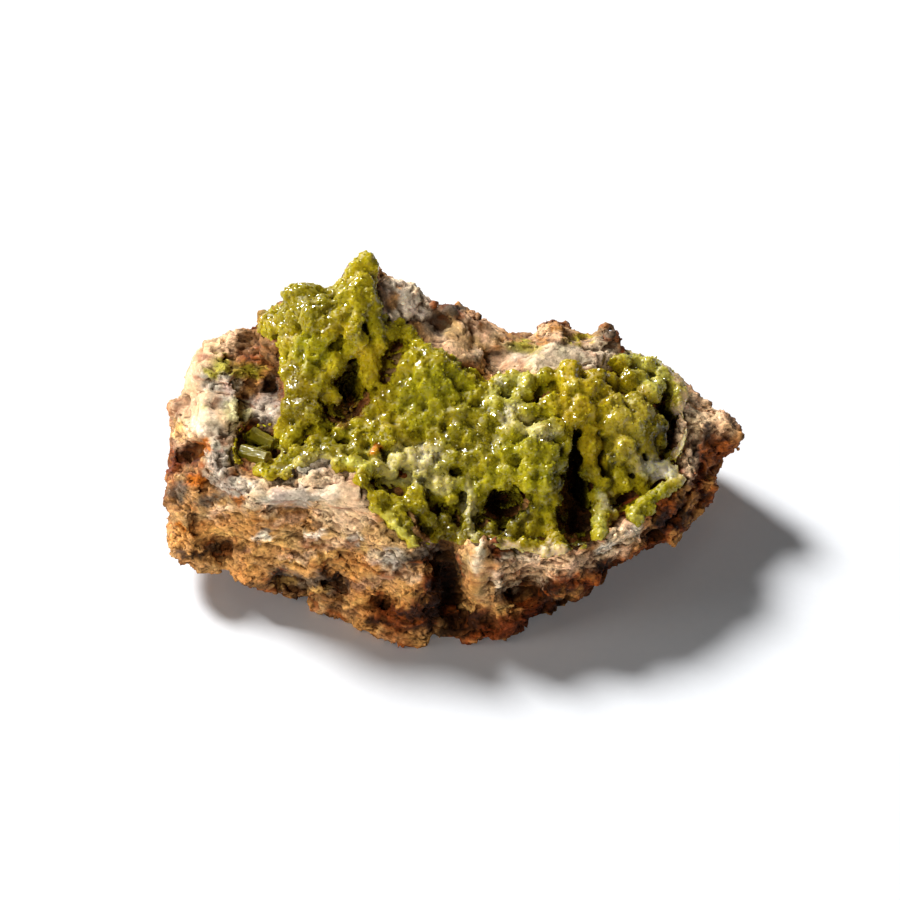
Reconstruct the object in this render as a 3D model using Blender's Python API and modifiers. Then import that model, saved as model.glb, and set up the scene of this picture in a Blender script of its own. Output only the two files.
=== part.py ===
"""A pyromorphite specimen: a loose piece of rust-stained rock with a hollow in its upper side,
and the crust of yellow-green crystals that lines the hollow. Metres, +Z up."""

import math

import bmesh
import bpy
import numpy as np
from mathutils import Matrix, Vector, noise

# Driving sizes
WIDTH = 0.080
WIDTH_IN_PICTURE = 578
PIXEL = WIDTH / WIDTH_IN_PICTURE
MM = 0.001

# The forms are laid out as they look from the front, 45 degrees above the table. A place is a
# point of that view, in pixels across and down, and a height above the table in millimetres.
VIEW_ELEVATION = math.radians(45)
VIEW_CENTRE_PX = (452, 450)
SIN_E = math.sin(VIEW_ELEVATION)
COS_E = math.cos(VIEW_ELEVATION)
ACROSS = np.array((1.0, 0.0, 0.0))
UP = np.array((0.0, SIN_E, COS_E))
TOWARD = np.array((0.0, -COS_E, SIN_E))

# How far the finished pieces move so that the origin is under the middle of the whole
TO_ORIGIN = (-0.2 * MM, 16.0 * MM, 0.0)

FIT_GAP = 0.3 * MM
REST_DIP = 0.9 * MM

# The silhouette, clockwise from the knob at the left: pixels across, pixels down, height in mm
OUTLINE = [
    # upper left rim
    (163, 409, 19), (172, 397, 20), (179, 386, 20.5), (181, 371, 21.5), (190, 352, 22),
    (207, 341, 23),
    (227, 328, 25), (246, 322, 26),
    # green mound and peak
    (258, 320, 27), (275, 312, 29), (287, 292, 31), (305, 286, 32), (326, 292, 33),
    (345, 272, 35), (359, 258, 36.5), (366, 255, 37), (376, 264, 36), (380, 280, 34),
    # bare rock at the back
    (395, 284, 31.5), (410, 279, 31), (418, 286, 30.5), (428, 308, 28), (450, 303, 27.5),
    (470, 313, 26.5), (490, 322, 25.5), (515, 336, 24), (535, 333, 24), (559, 323, 24),
    (590, 335, 23), (605, 330, 23), (616, 325, 23.5), (626, 348, 21),
    # back right rim and the knob at the right
    (640, 351, 20.5), (664, 362, 19.5), (680, 366, 18.5), (690, 382, 17.5), (693, 395, 16.5),
    (703, 407, 16), (720, 410, 15.5), (735, 422, 15), (742, 437, 13.5), (740, 451, 11.5),
    (725, 461, 10),
    # right wall down to the front rim
    (715, 470, 9.5), (717, 489, 8.5), (711, 503, 8), (703, 515, 7.5), (687, 534, 7),
    (674, 548, 6.5), (652, 548, 7), (641, 549, 7.5), (627, 558, 6.5), (611, 563, 6),
    (600, 576, 4.5), (588, 588, 4), (578, 602, 3), (556, 602, 3), (546, 608, 2.5),
    # lowest edge, just above where the rock stands
    (528, 628, 1.2), (513, 634, 1), (494, 638, 1), (486, 645, 1), (470, 649, 1),
    (456, 636, 1), (444, 632, 1), (429, 647, 1), (413, 645, 1), (386, 640, 1.2),
    (367, 634, 1.4), (353, 628, 1.6), (340, 622, 1.6), (319, 612, 2), (289, 602, 2),
    (275, 597, 2.5), (260, 590, 3), (249, 591, 3), (236, 583, 3.5),
    # lower left corner and left wall
    (231, 567, 5), (205, 569, 5.5), (179, 563, 6), (169, 547, 7.5), (168, 500, 12),
    (172, 470, 15), (167, 440, 17), (172, 425, 18),
]

# Heights inside the silhouette: the rim, the walls, and the lie of the crust over the hollow
FORM = {
    "left rim": [(200, 400, 23), (215, 365, 24.5), (230, 410, 22.5), (190, 440, 21),
                 (215, 468, 21), (240, 478, 20.5)],
    "left wall": [(190, 500, 14), (200, 540, 9.5), (220, 520, 13.5)],
    "front left rim": [(262, 490, 21), (300, 490, 21.5), (345, 482, 22), (362, 500, 21),
                       (385, 530, 18.5), (415, 552, 16)],
    "front left wall": [(262, 540, 12), (300, 545, 12), (340, 550, 11.5), (300, 515, 16.5),
                        (345, 515, 17.5), (380, 585, 7), (415, 600, 7)],
    "front rim": [(440, 552, 15), (480, 548, 16), (510, 554, 14.5), (545, 557, 14),
                  (578, 556, 13.5), (610, 546, 13.5), (635, 530, 13.8), (655, 515, 14),
                  (680, 492, 14.5), (694, 466, 15.2)],
    "front wall": [(480, 595, 7.5), (520, 590, 8), (560, 580, 9)],
    "right wall": [(712, 430, 16), (705, 470, 12.5), (690, 510, 10.5)],
    "pocket and pit": [(240, 430, 20.5), (257, 442, 18), (262, 385, 21.5)],
    "mound and peak": [(306, 306, 32.5), (355, 300, 34.5), (358, 330, 32), (290, 335, 29.5)],
    "left fingers": [(300, 350, 29), (300, 395, 25.5), (300, 430, 22.5), (332, 363, 28),
                     (370, 365, 27)],
    "band": [(280, 460, 20.5), (330, 445, 21.5), (380, 420, 23), (410, 400, 24.5)],
    "middle ridge": [(411, 345, 28.5), (440, 358, 28), (469, 374, 25.5)],
    "middle": [(450, 430, 22.5), (410, 460, 20.5), (395, 500, 18.5), (430, 500, 18),
               (440, 535, 15)],
    "blades": [(500, 400, 24), (540, 400, 23.5), (545, 440, 22.5), (540, 480, 20),
               (500, 470, 20), (500, 520, 15), (470, 520, 15.5), (545, 535, 14.5)],
    "amber": [(580, 395, 23), (590, 445, 19), (590, 475, 16.5), (598, 520, 13.5)],
    "right mass": [(630, 425, 20), (620, 460, 17.5), (655, 400, 19.5), (660, 450, 16),
                   (640, 490, 14.5)],
    "back rim": [(400, 305, 30), (395, 328, 29), (440, 325, 27), (470, 345, 25),
                 (490, 360, 24), (520, 365, 24), (550, 350, 24.5), (585, 360, 23.5),
                 (640, 372, 20.5), (672, 385, 18.5)],
}

# The edge of the crust, clockwise from the pocket at the left
CRUST_EDGE = [
    (231, 428), (229, 452), (236, 474), (262, 480), (288, 478), (306, 464), (330, 457),
    (352, 466), (366, 492), (382, 516), (402, 536), (424, 549), (442, 546), (462, 541),
    (480, 546), (515, 551), (550, 556), (580, 551), (594, 542), (616, 529), (640, 515),
    (665, 501), (682, 486), (680, 462), (692, 440), (689, 405), (694, 390), (682, 368),
    (662, 357), (640, 353), (624, 348), (606, 356), (600, 370), (570, 368), (545, 370),
    (520, 374), (500, 377), (482, 371), (466, 362), (448, 350), (430, 341), (414, 330),
    (398, 321), (384, 316), (380, 296), (380, 272), (372, 256), (364, 252), (348, 266),
    (338, 280), (327, 289), (308, 284), (289, 286), (278, 304), (260, 320), (262, 340),
    (276, 352), (284, 368), (286, 392), (280, 412), (272, 424), (252, 420),
]

# Hollows: pixels across, pixels down, half sizes, turn in degrees, depth in mm
CRUST_HOLLOWS = {
    "pocket": [(257, 444, 21, 20, 0, 5.5)],
    "left cavity": [(350, 390, 13, 24, -20, 7)],
    "small holes": [(365, 319, 4, 4, 0, 2.5), (399, 342, 8, 6, 0, 3), (450, 416, 4, 8, 20, 2.5)],
    "behind the blade": [(534, 398, 9, 11, 20, 4), (611, 362, 7, 12, 0, 5)],
    "under the columns": [(502, 505, 19, 15, 0, 7), (420, 541, 18, 10, -15, 6),
                          (441, 512, 8, 12, 0, 4.5), (382, 482, 8, 8, 0, 3)],
    "long cavity": [(581, 488, 15, 62, 3, 10)],
    "right cavity": [(675, 432, 14, 30, 0, 8)],
    "dark pocket": [(628, 500, 13, 14, 30, 6)],
}
ROCK_HOLLOWS = {
    "front cleft": [(449, 580, 12, 40, 0, 9.5)],
    "rusty slot": [(190, 455, 15, 11, 25, 3.5)],
    "porous patch": [(250, 343, 13, 13, 0, 2), (262, 385, 12, 11, 0, 4)],
    "under the grey band": [(292, 518, 32, 7, 0, 2.6)],
    "lower left undercut": [(228, 549, 15, 9, 20, 4.5)],
    "shells": [(290, 583, 17, 11, -10, 4.2), (330, 582, 15, 11, -15, 4.0)],
    "nodule pit": [(382, 602, 8, 8, 0, 2.5)],
    "under the ledge": [(524, 590, 26, 13, 20, 6), (495, 618, 10, 6, 0, 2)],
    "right wall": [(668, 528, 16, 10, 35, 2.5), (697, 440, 7, 15, -10, 2), (722, 440, 8, 6, 0, 1.5)],
    "back dent": [(435, 328, 13, 14, 0, 3), (480, 340, 8, 10, 30, 1.2)],
}
ROCK_SWELLS = {
    "cream block": [(345, 500, 24, 18, 0, 1.6)],
    "grey band": [(292, 498, 30, 9, 0, 1.0)],
    "nodules": [(360, 605, 13, 10, 0, 1.0), (412, 612, 16, 16, 0, 1.6), (250, 577, 14, 10, 0, 1.2)],
    "lit wall": [(478, 575, 14, 34, 0, 1.2)],
    "rim nodule": [(569, 590, 14, 12, 0, 1.5)],
    "back knobs": [(402, 292, 14, 10, 0, 1.2), (612, 335, 11, 9, 0, 1.4)],
}

# Crystal lumps of the crust: pixels across, pixels down, radius in pixels
LUMPS = {
    "peak": [
        (366, 260, 9), (358, 268, 9), (372, 267, 7), (353, 277, 10), (362, 284, 11),
        (342, 287, 8), (352, 295, 11), (367, 296, 10), (374, 306, 8), (343, 299, 9),
        (358, 306, 10), (341, 317, 10), (357, 320, 8), (352, 331, 10), (371, 317, 8),
        (376, 327, 9), (384, 332, 7),
    ],
    "mound": [
        (303, 296, 14), (291, 294, 10), (315, 294, 9), (323, 302, 8), (307, 307, 9),
        (292, 304, 9), (313, 320, 13), (295, 317, 9), (284, 317, 9), (269, 319, 8),
        (272, 327, 8), (284, 330, 8), (266, 331, 6), (326, 309, 8), (324, 324, 8),
        (330, 335, 9), (290, 344, 8), (283, 341, 6),
    ],
    "left fingers": [
        (318, 344, 10), (303, 344, 10), (313, 356, 10), (332, 363, 14), (301, 359, 12),
        (295, 374, 12), (309, 374, 12), (297, 389, 12), (313, 387, 12), (322, 381, 11),
        (328, 393, 10), (336, 398, 7), (303, 405, 12), (313, 413, 10), (292, 409, 10),
        (288, 422, 9), (296, 432, 8), (282, 432, 8), (288, 442, 8), (303, 421, 8),
    ],
    "hanging finger": [
        (378, 344, 10), (372, 353, 11), (370, 364, 11), (368, 374, 10), (370, 382, 8),
        (360, 342, 9), (351, 350, 8), (391, 333, 9), (409, 333, 8), (400, 323, 6),
    ],
    "middle ridge": [
        (418, 347, 9), (427, 355, 10), (414, 359, 10), (437, 362, 10), (406, 366, 9),
        (422, 370, 10), (437, 374, 9), (447, 368, 10), (460, 378, 9), (470, 383, 9),
        (444, 385, 10), (452, 398, 9),
    ],
    "slope": [
        (398, 382, 9), (414, 380, 9), (429, 386, 10), (389, 393, 9), (406, 393, 9),
        (422, 397, 9), (437, 402, 10), (380, 403, 8), (397, 406, 9), (414, 409, 9),
        (370, 412, 8), (385, 418, 9), (402, 422, 9), (427, 421, 9), (444, 416, 8),
        (434, 434, 9), (414, 424, 9), (401, 434, 9), (389, 438, 12), (370, 428, 8),
    ],
    "band": [
        (357, 424, 8), (341, 431, 8), (357, 437, 8), (322, 435, 7), (315, 443, 8),
        (330, 445, 8), (303, 464, 8), (297, 454, 9), (313, 455, 9), (328, 453, 9),
        (341, 453, 9), (357, 449, 9), (284, 464, 9), (288, 474, 6), (272, 475, 7),
        (263, 470, 8), (341, 464, 9), (355, 464, 9), (366, 470, 9), (378, 468, 9),
        (362, 481, 8), (375, 455, 7),
    ],
    "middle": [
        (444, 447, 10), (457, 441, 9), (432, 449, 9), (452, 459, 10), (465, 459, 9),
        (411, 459, 11), (427, 465, 9), (398, 460, 9), (439, 470, 9), (421, 478, 9),
        (391, 472, 8), (460, 416, 12), (457, 429, 10), (472, 419, 12), (472, 439, 12),
        (485, 424, 11), (495, 418, 11), (483, 452, 11), (488, 463, 10), (478, 470, 9),
        (488, 480, 9), (480, 393, 10), (493, 391, 9), (493, 406, 10), (451, 484, 9),
        (464, 482, 8), (438, 487, 8),
    ],
    "stubby prisms": [
        (416, 493, 9), (408, 504, 9), (420, 506, 8), (399, 510, 8), (393, 502, 8),
        (380, 497, 8), (376, 505, 7), (402, 518, 8), (408, 524, 7), (392, 518, 7),
    ],
    "front floor": [
        (451, 497, 8), (445, 520, 7), (440, 531, 6), (451, 529, 6), (491, 527, 6),
        (495, 540, 6), (508, 542, 6), (468, 514, 6), (468, 525, 6), (472, 500, 6),
        (480, 489, 9), (478, 500, 8), (478, 508, 7), (430, 519, 7), (462, 538, 6),
        (480, 536, 6), (522, 543, 7), (535, 546, 7),
    ],
    "back balls": [
        (503, 383, 10), (513, 379, 9), (528, 383, 10), (526, 394, 8), (545, 376, 9),
        (518, 395, 7), (515, 405, 8),
    ],
    "blades": [
        (506, 406, 7), (511, 418, 7), (516, 432, 9), (526, 413, 9), (534, 410, 7),
        (552, 406, 12), (564, 404, 8), (567, 418, 7), (539, 434, 12), (554, 431, 12),
        (529, 449, 12), (546, 452, 12), (562, 444, 8), (544, 467, 11), (559, 464, 9),
        (529, 467, 9), (508, 434, 10), (503, 452, 12), (506, 470, 10), (503, 482, 9),
        (518, 477, 8), (529, 485, 9), (544, 485, 10), (554, 483, 8), (566, 432, 6),
    ],
    "lower columns": [
        (540, 499, 9), (554, 499, 8), (535, 510, 8), (548, 514, 8), (523, 518, 8),
        (514, 527, 8), (531, 527, 8), (554, 540, 9), (560, 548, 7), (544, 550, 7),
        (550, 528, 8),
    ],
    "amber": [
        (569, 373, 13), (572, 388, 14), (590, 390, 14), (580, 403, 13), (597, 378, 10),
        (605, 393, 9), (587, 414, 12), (574, 418, 10), (603, 408, 10), (590, 427, 9),
        (590, 445, 12), (590, 472, 10), (590, 459, 7),
    ],
    "right mass": [
        (615, 403, 10), (620, 419, 12), (612, 424, 10), (636, 403, 11), (643, 413, 12),
        (633, 424, 12), (648, 429, 11), (651, 393, 12), (638, 434, 11), (646, 444, 9),
        (625, 444, 12), (633, 459, 9), (620, 454, 9), (618, 475, 9), (610, 464, 8),
        (625, 485, 8), (661, 424, 9), (662, 441, 8), (613, 489, 8), (605, 485, 8),
    ],
    "back right": [
        (625, 362, 9), (631, 378, 10), (612, 380, 8), (643, 378, 8), (651, 363, 8),
        (666, 373, 9), (678, 383, 9), (683, 394, 9), (681, 403, 7), (661, 384, 8),
        (637, 358, 6),
    ],
    "right foot": [
        (598, 521, 8), (598, 533, 8), (598, 508, 8), (596, 497, 8), (613, 514, 6),
        (632, 512, 8), (643, 504, 8), (653, 497, 7), (664, 491, 7), (673, 486, 6),
        (636, 520, 7), (647, 510, 7), (653, 470, 9), (664, 468, 8), (643, 473, 8),
        (653, 453, 7), (672, 477, 7), (640, 484, 7),
    ],
}

# Six-sided prisms: middle across and down, length, half width, turn in degrees (all but the
# turn in pixels)
PRISMS = {
    "pocket prism upper": (261, 440, 28, 7, -25),
    "pocket prism lower": (258, 457, 30, 8, -15),
    "pocket plate": (235, 450, 40, 5, 85),
    "cluster prism": (415, 497, 28, 9, 70),
    "blade edge": (567, 428, 50, 6, 88),
    "pale blade": (510, 414, 34, 5, -55),
    "grey stem": (470, 508, 56, 5, 84),
    "etched column": (598, 514, 44, 8, 88),
}

# Fineness of the two solids
OUTLINE_THICKNESS = 12 * MM
SHEET_VOXEL = 1.1 * MM
ROCK_VOXEL = 0.75 * MM
CRUST_VOXEL = 0.4 * MM
ROCK_TRIANGLES = 4000
CRUST_TRIANGLES = 4700
SLIVER = 0.005 * MM

# The form is one smooth surface through all the heights, rounded over this length at each
SOFTNESS = 2.2 * MM

# The rock stands on the middle of its underside, which rises toward the ends
FOOT_CENTRE = (2 * MM, -21 * MM)
FOOT_HALF = (23 * MM, 16 * MM)
FOOT_RISE = 7.5 * MM
FOOT_CURVE = 1.2
ROUNDS_TO_SETTLE = 8
BACK_AT = 6 * MM
BACK_SWEEP = 14 * MM
BACK_CURVE = 4
HALF_WIDTH = WIDTH / 2
LEAST_THICK = 2.6 * MM
EDGE_SOFT = 2.0 * MM

# Broken faces, layers and grit of the rock, as heights out of its skin
BROKEN_SIZE = 10 * MM
BROKEN_HEIGHT = 1.3 * MM
BROKEN_NOISE = (0.9, 2.1, 3)
LAYER_PITCH = 3.4 * MM
LAYER_STEP = 0.55 * MM
LAYER_TILT = Vector((0.10, -0.16, 0.98)).normalized()
LAYER_WANDER = 1.5
LAYER_WANDER_SIZE = 3 * BROKEN_SIZE
LAYER_SPREAD = 1.7
GRIT_SIZE = 3.2 * MM
GRIT_HEIGHT = 0.75 * MM
GRIT_NOISE = (1.0, 2.2, 2, 1.0, 2.0)
GRIT_MEAN = 1.0
# They fade under the crust, and toward the silhouette, which is known
LEFT_UNDER_CRUST = 0.15
CRUST_FADE = 2.0 * MM
CRUST_FADE_AT_EDGE = 0.5
DEPTH_FADE = 6.0 * MM
DEPTH_FADE_AT_SKIN = 1.6
LEFT_AT_SILHOUETTE = 0.3
SILHOUETTE_FADE = 3.0 * MM

# The crust: how deep the rock is sunk for it, its skin over the rock, its roots in it
CRUST_SEAT = 3.2 * MM
SEAT_RAMP = 2.2 * MM
CRUST_SKIN = 1.1 * MM
CRUST_ROOT = 4.5 * MM
LINING_SHARE = 0.22
SLOPE_STEP = 1.2 * MM
# A lump, as shares of its radius: sunk by, rooted by, its middle moved back by
LUMP_SINK = 0.3
LUMP_ROOT = 0.5
LUMP_BACK = 0.3
LUMP_LEAN = 0.6
# A prism follows this share of the pocket's depth and is sunk by a share of its half width
PRISM_IN_POCKET = 0.55
PRISM_SINK = 0.2
PRISM_TAPER = 0.92
CRYSTAL_SIZE = 2.0 * MM
CRYSTAL_SWELL = 0.45 * MM
CRYSTAL_NOISE = (0.8, 2.0, 2)

ROCK_COLOUR = (0.52, 0.36, 0.22)
ROCK_ROUGHNESS = 0.85
CRUST_COLOUR = (0.34, 0.36, 0.05)
CRUST_ROUGHNESS = 0.22


def clear_scene():
    for obj in list(bpy.data.objects):
        bpy.data.objects.remove(obj, do_unlink=True)


def on_view(points):
    """Places in pixels as metres across and up in the view."""
    points = np.asarray(points, float)[:, :2]
    return (points - VIEW_CENTRE_PX) * (PIXEL, -PIXEL)


def seen(across, up, toward):
    """Points in space from their places in the view and their distances toward the eye."""
    return (
        np.multiply.outer(across, ACROSS)
        + np.multiply.outer(up, UP)
        + np.multiply.outer(toward, TOWARD)
    )


def toward_at_height(up, height):
    return (height - up * COS_E) / SIN_E


def spread(a, b):
    """The kernel of the form: a cone with a rounded tip, between every a and every b."""
    gap = a[:, None, :] - b[None, :, :]
    return np.sqrt((gap**2).sum(axis=2) + SOFTNESS**2)


def fit_form():
    """Weights of one smooth surface through the outline and the form points."""
    places = list(OUTLINE)
    for group in FORM.values():
        places += group
    places = np.array(places, float)
    at = on_view(places)
    toward = toward_at_height(at[:, 1], places[:, 2] * MM)
    ones = np.column_stack((np.ones(len(at)), at))
    system = np.block([[spread(at, at), ones], [ones.T, np.zeros((3, 3))]])
    return at, np.linalg.solve(system, np.concatenate((toward, np.zeros(3))))


FORM_AT, FORM_WEIGHTS = fit_form()


def form(across, up):
    """How far toward the eye the specimen's skin lies, crust included."""
    at = np.column_stack((across, up))
    ones = np.column_stack((np.ones(len(at)), at))
    return spread(at, FORM_AT) @ FORM_WEIGHTS[:-3] + ones @ FORM_WEIGHTS[-3:]


def dimples(across, up, groups):
    """Sum of the flat-bottomed dimples of some groups, in metres."""
    total = np.zeros(len(across))
    for group in groups:
        for px, py, half_wide, half_tall, turn, depth in group:
            (cx, cy), = on_view([(px, py)])
            c, s = math.cos(math.radians(turn)), math.sin(math.radians(turn))
            along = ((across - cx) * c + (up - cy) * s) / (half_wide * PIXEL)
            aside = ((up - cy) * c - (across - cx) * s) / (half_tall * PIXEL)
            total += depth * MM * np.exp(-((along**2 + aside**2) ** 2))
    return total


def inside_edge(across, up, outline):
    """Distance inside a closed outline, negative outside it."""
    ring = on_view(outline)
    ends = np.roll(ring, -1, axis=0)
    run = ends - ring
    at = np.column_stack((across, up))[:, None, :] - ring[None]
    share = np.clip((at * run).sum(2) / (run**2).sum(1), 0, 1)
    nearest = np.sqrt(((at - share[..., None] * run) ** 2).sum(2)).min(1)
    above = (ring[:, 1] > np.asarray(up)[:, None]) != (ends[:, 1] > np.asarray(up)[:, None])
    rise = np.where(run[:, 1] == 0, 1, run[:, 1])
    crossing = (np.asarray(up)[:, None] - ring[:, 1]) / rise * run[:, 0] + ring[:, 0]
    hits = (above & (np.asarray(across)[:, None] < crossing)).sum(1)
    return np.where(hits % 2 == 1, nearest, -nearest)


def rock_front(across, up):
    """The rock's visible side, which is sunk under the crust and cut by the hollows."""
    under_crust = np.clip(inside_edge(across, up, CRUST_EDGE) / SEAT_RAMP, 0, 1)
    return (
        form(across, up)
        - CRUST_SEAT * under_crust
        - dimples(across, up, CRUST_HOLLOWS.values()) * under_crust
        - dimples(across, up, ROCK_HOLLOWS.values())
        + dimples(across, up, ROCK_SWELLS.values())
    )


def rock_back(across, up, front):
    """The rock's hidden side: its underside and its back wall, met in a soft edge."""
    toward = toward_at_height(up, -REST_DIP)
    for _ in range(ROUNDS_TO_SETTLE):
        y = up * SIN_E - toward * COS_E
        reach = np.hypot(
            (across - FOOT_CENTRE[0]) / FOOT_HALF[0], (y - FOOT_CENTRE[1]) / FOOT_HALF[1]
        )
        rise = FOOT_RISE * np.maximum(0, reach - 1) ** FOOT_CURVE - REST_DIP
        toward = 0.5 * toward + 0.5 * toward_at_height(up, rise)
    back_y = BACK_AT - BACK_SWEEP * (np.abs(across) / HALF_WIDTH) ** BACK_CURVE
    wall = (up * SIN_E - back_y) / COS_E
    hidden = EDGE_SOFT * np.logaddexp(toward / EDGE_SOFT, wall / EDGE_SOFT)
    return np.minimum(hidden, front - LEAST_THICK)


def make_material(name, colour, roughness):
    material = bpy.data.materials.new(name)
    material.use_nodes = True
    shader = material.node_tree.nodes["Principled BSDF"]
    shader.inputs["Base Color"].default_value = (*colour, 1.0)
    shader.inputs["Roughness"].default_value = roughness
    shader.inputs["Metallic"].default_value = 0.0
    return material


def collection(name):
    made = bpy.data.collections.new(name)
    bpy.context.scene.collection.children.link(made)
    return made


def add_object(name, mesh, into):
    obj = bpy.data.objects.new(name, mesh)
    into.objects.link(obj)
    return obj


def bake_modifiers(obj):
    """Replaces an object's mesh with what its modifiers make of it."""
    graph = bpy.context.evaluated_depsgraph_get()
    graph.update()
    made = bpy.data.meshes.new_from_object(obj.evaluated_get(graph))
    obj.modifiers.clear()
    obj.data = made


def remesh(obj, voxel):
    modifier = obj.modifiers.new("even mesh", "REMESH")
    modifier.mode = "VOXEL"
    modifier.voxel_size = voxel
    bake_modifiers(obj)


def thin_to(obj, triangles):
    """Decimates an object to about the given number of triangles."""
    count = sum(len(face.vertices) - 2 for face in obj.data.polygons)
    modifier = obj.modifiers.new("fewer faces", "DECIMATE")
    modifier.ratio = min(1.0, triangles / count)
    modifier.use_collapse_triangulate = True
    bake_modifiers(obj)


def points_of(mesh):
    flat = np.empty(len(mesh.vertices) * 3)
    mesh.vertices.foreach_get("co", flat)
    return flat.reshape(-1, 3)


def move_points(mesh, points):
    mesh.vertices.foreach_set("co", np.asarray(points, float).ravel())
    mesh.update()


def slab_from(name, outline, into):
    """A flat slab with the given outline, lying in the view's plane, meshed evenly."""
    curve = bpy.data.curves.new(name, "CURVE")
    curve.dimensions = "2D"
    curve.fill_mode = "BOTH"
    curve.extrude = OUTLINE_THICKNESS / 2
    spline = curve.splines.new("POLY")
    ring = on_view(outline)
    spline.points.add(len(ring) - 1)
    for point, (x, y) in zip(spline.points, ring):
        point.co = (x, y, 0, 1)
    spline.use_cyclic_u = True
    drawn = bpy.data.objects.new(name + " outline", curve)
    bpy.context.scene.collection.objects.link(drawn)
    graph = bpy.context.evaluated_depsgraph_get()
    graph.update()
    slab = add_object(name, bpy.data.meshes.new_from_object(drawn.evaluated_get(graph)), into)
    bpy.data.objects.remove(drawn)
    remesh(slab, SHEET_VOXEL)
    return slab


def shape_slab(slab, front, back):
    """Bends a slab so that its two faces follow two surfaces over the view's plane."""
    across, up, level = points_of(slab.data).T
    share = np.clip(level / OUTLINE_THICKNESS + 0.5, 0, 1)
    nearer = front(across, up)
    further = back(across, up, nearer)
    move_points(slab.data, seen(across, up, further + share * (nearer - further)))


def broken_rock(point):
    """How far a point of the rock moves out along its normal: breaks, layers and grit."""
    big = noise.fractal(point / BROKEN_SIZE, *BROKEN_NOISE) * BROKEN_HEIGHT
    wander = noise.noise(point / LAYER_WANDER_SIZE) * LAYER_WANDER
    layer = math.floor(point.dot(LAYER_TILT) / LAYER_PITCH + wander)
    step = noise.cell(Vector((layer * LAYER_SPREAD, 0.5, 0.5))) * LAYER_STEP
    grit = noise.ridged_multi_fractal(point / GRIT_SIZE, *GRIT_NOISE) - GRIT_MEAN
    grit *= GRIT_HEIGHT
    return big + step + grit


def displace_rock(obj):
    mesh = obj.data
    points = points_of(mesh)
    across = points @ ACROSS
    up = points @ UP
    toward = points @ TOWARD
    facing = np.clip((toward - form(across, up)) / DEPTH_FADE + DEPTH_FADE_AT_SKIN, 0, 1)
    in_crust = inside_edge(across, up, CRUST_EDGE) / CRUST_FADE + CRUST_FADE_AT_EDGE
    covered = np.clip(in_crust, 0, 1) * facing
    within = inside_edge(across, up, [place[:2] for place in OUTLINE]) / SILHOUETTE_FADE
    share = np.clip(within, LEFT_AT_SILHOUETTE, 1) * (1 - (1 - LEFT_UNDER_CRUST) * covered)
    moved = points.copy()
    for index, vertex in enumerate(mesh.vertices):
        moved[index] += np.array(vertex.normal) * broken_rock(vertex.co) * share[index]
    move_points(mesh, moved)


def cut_at_table(obj):
    """Cuts the rock off flat at the table, which leaves the face that it rests on."""
    shape = bmesh.new()
    shape.from_mesh(obj.data)
    geometry = shape.verts[:] + shape.edges[:] + shape.faces[:]
    cut = bmesh.ops.bisect_plane(
        shape, geom=geometry, plane_co=(0, 0, 0), plane_no=(0, 0, -1), clear_outer=True
    )
    edges = [item for item in cut["geom_cut"] if isinstance(item, bmesh.types.BMEdge)]
    bmesh.ops.holes_fill(shape, edges=edges, sides=0)
    bmesh.ops.triangulate(shape, faces=shape.faces[:])
    bmesh.ops.recalc_face_normals(shape, faces=shape.faces[:])
    shape.to_mesh(obj.data)
    shape.free()


def keep_largest_body(obj):
    """Deletes every loose crumb, so that one closed body is left."""
    shape = bmesh.new()
    shape.from_mesh(obj.data)
    shape.faces.ensure_lookup_table()
    waiting = set(shape.faces)
    bodies = []
    while waiting:
        start = waiting.pop()
        body, edge_of = [start], [start]
        while edge_of:
            face = edge_of.pop()
            for edge in face.edges:
                for other in edge.link_faces:
                    if other in waiting:
                        waiting.discard(other)
                        body.append(other)
                        edge_of.append(other)
        bodies.append(body)
    bodies.sort(key=len, reverse=True)
    crumbs = [face for body in bodies[1:] for face in body]
    if crumbs:
        bmesh.ops.delete(shape, geom=crumbs, context="FACES")
    loose = [vertex for vertex in shape.verts if not vertex.link_faces]
    bmesh.ops.delete(shape, geom=loose, context="VERTS")
    shape.to_mesh(obj.data)
    shape.free()


def merge_slivers(obj):
    """Merges points that a cut left all but touching."""
    shape = bmesh.new()
    shape.from_mesh(obj.data)
    bmesh.ops.remove_doubles(shape, verts=shape.verts[:], dist=SLIVER)
    bmesh.ops.dissolve_degenerate(shape, edges=shape.edges[:], dist=SLIVER)
    bmesh.ops.triangulate(shape, faces=shape.faces[:])
    shape.to_mesh(obj.data)
    shape.free()


def make_rock(parts):
    rock = slab_from("matrix", OUTLINE, parts)
    shape_slab(rock, rock_front, rock_back)
    remesh(rock, ROCK_VOXEL)
    displace_rock(rock)
    keep_largest_body(rock)
    thin_to(rock, ROCK_TRIANGLES)
    cut_at_table(rock)
    keep_largest_body(rock)
    return rock


def surface_frame(across, up):
    """A point of the crust's skin in the view, and the way into the rock there."""
    step = SLOPE_STEP
    middle, right, above = form(
        np.array((across, across + step, across)), np.array((up, up, up + step))
    )
    slope = seen(step, 0, right - middle), seen(0, step, above - middle)
    outward = np.cross(*slope)
    outward /= np.linalg.norm(outward)
    return middle, -outward


def add_lump(shape, px, py, radius_px):
    """A ball of crystals, drawn out into the rock so that it grows from the crust."""
    (across, up), = on_view([(px, py)])
    radius = radius_px * PIXEL
    middle, inward = surface_frame(across, up)
    lean = Vector(inward) * LUMP_LEAN - Vector(TOWARD) * (1 - LUMP_LEAN)
    axis = lean.normalized()
    root = CRUST_SEAT + LUMP_ROOT * radius
    centre = Vector(seen(across, up, middle - LUMP_SINK * radius))
    centre += axis * (root / 2 - LUMP_BACK * radius)
    turn = axis.to_track_quat("Z", "Y").to_matrix().to_4x4()
    stretch = Matrix.Diagonal((radius, radius, radius + root / 2, 1))
    bmesh.ops.create_icosphere(
        shape, subdivisions=2, radius=1, matrix=Matrix.Translation(centre) @ turn @ stretch
    )


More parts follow.
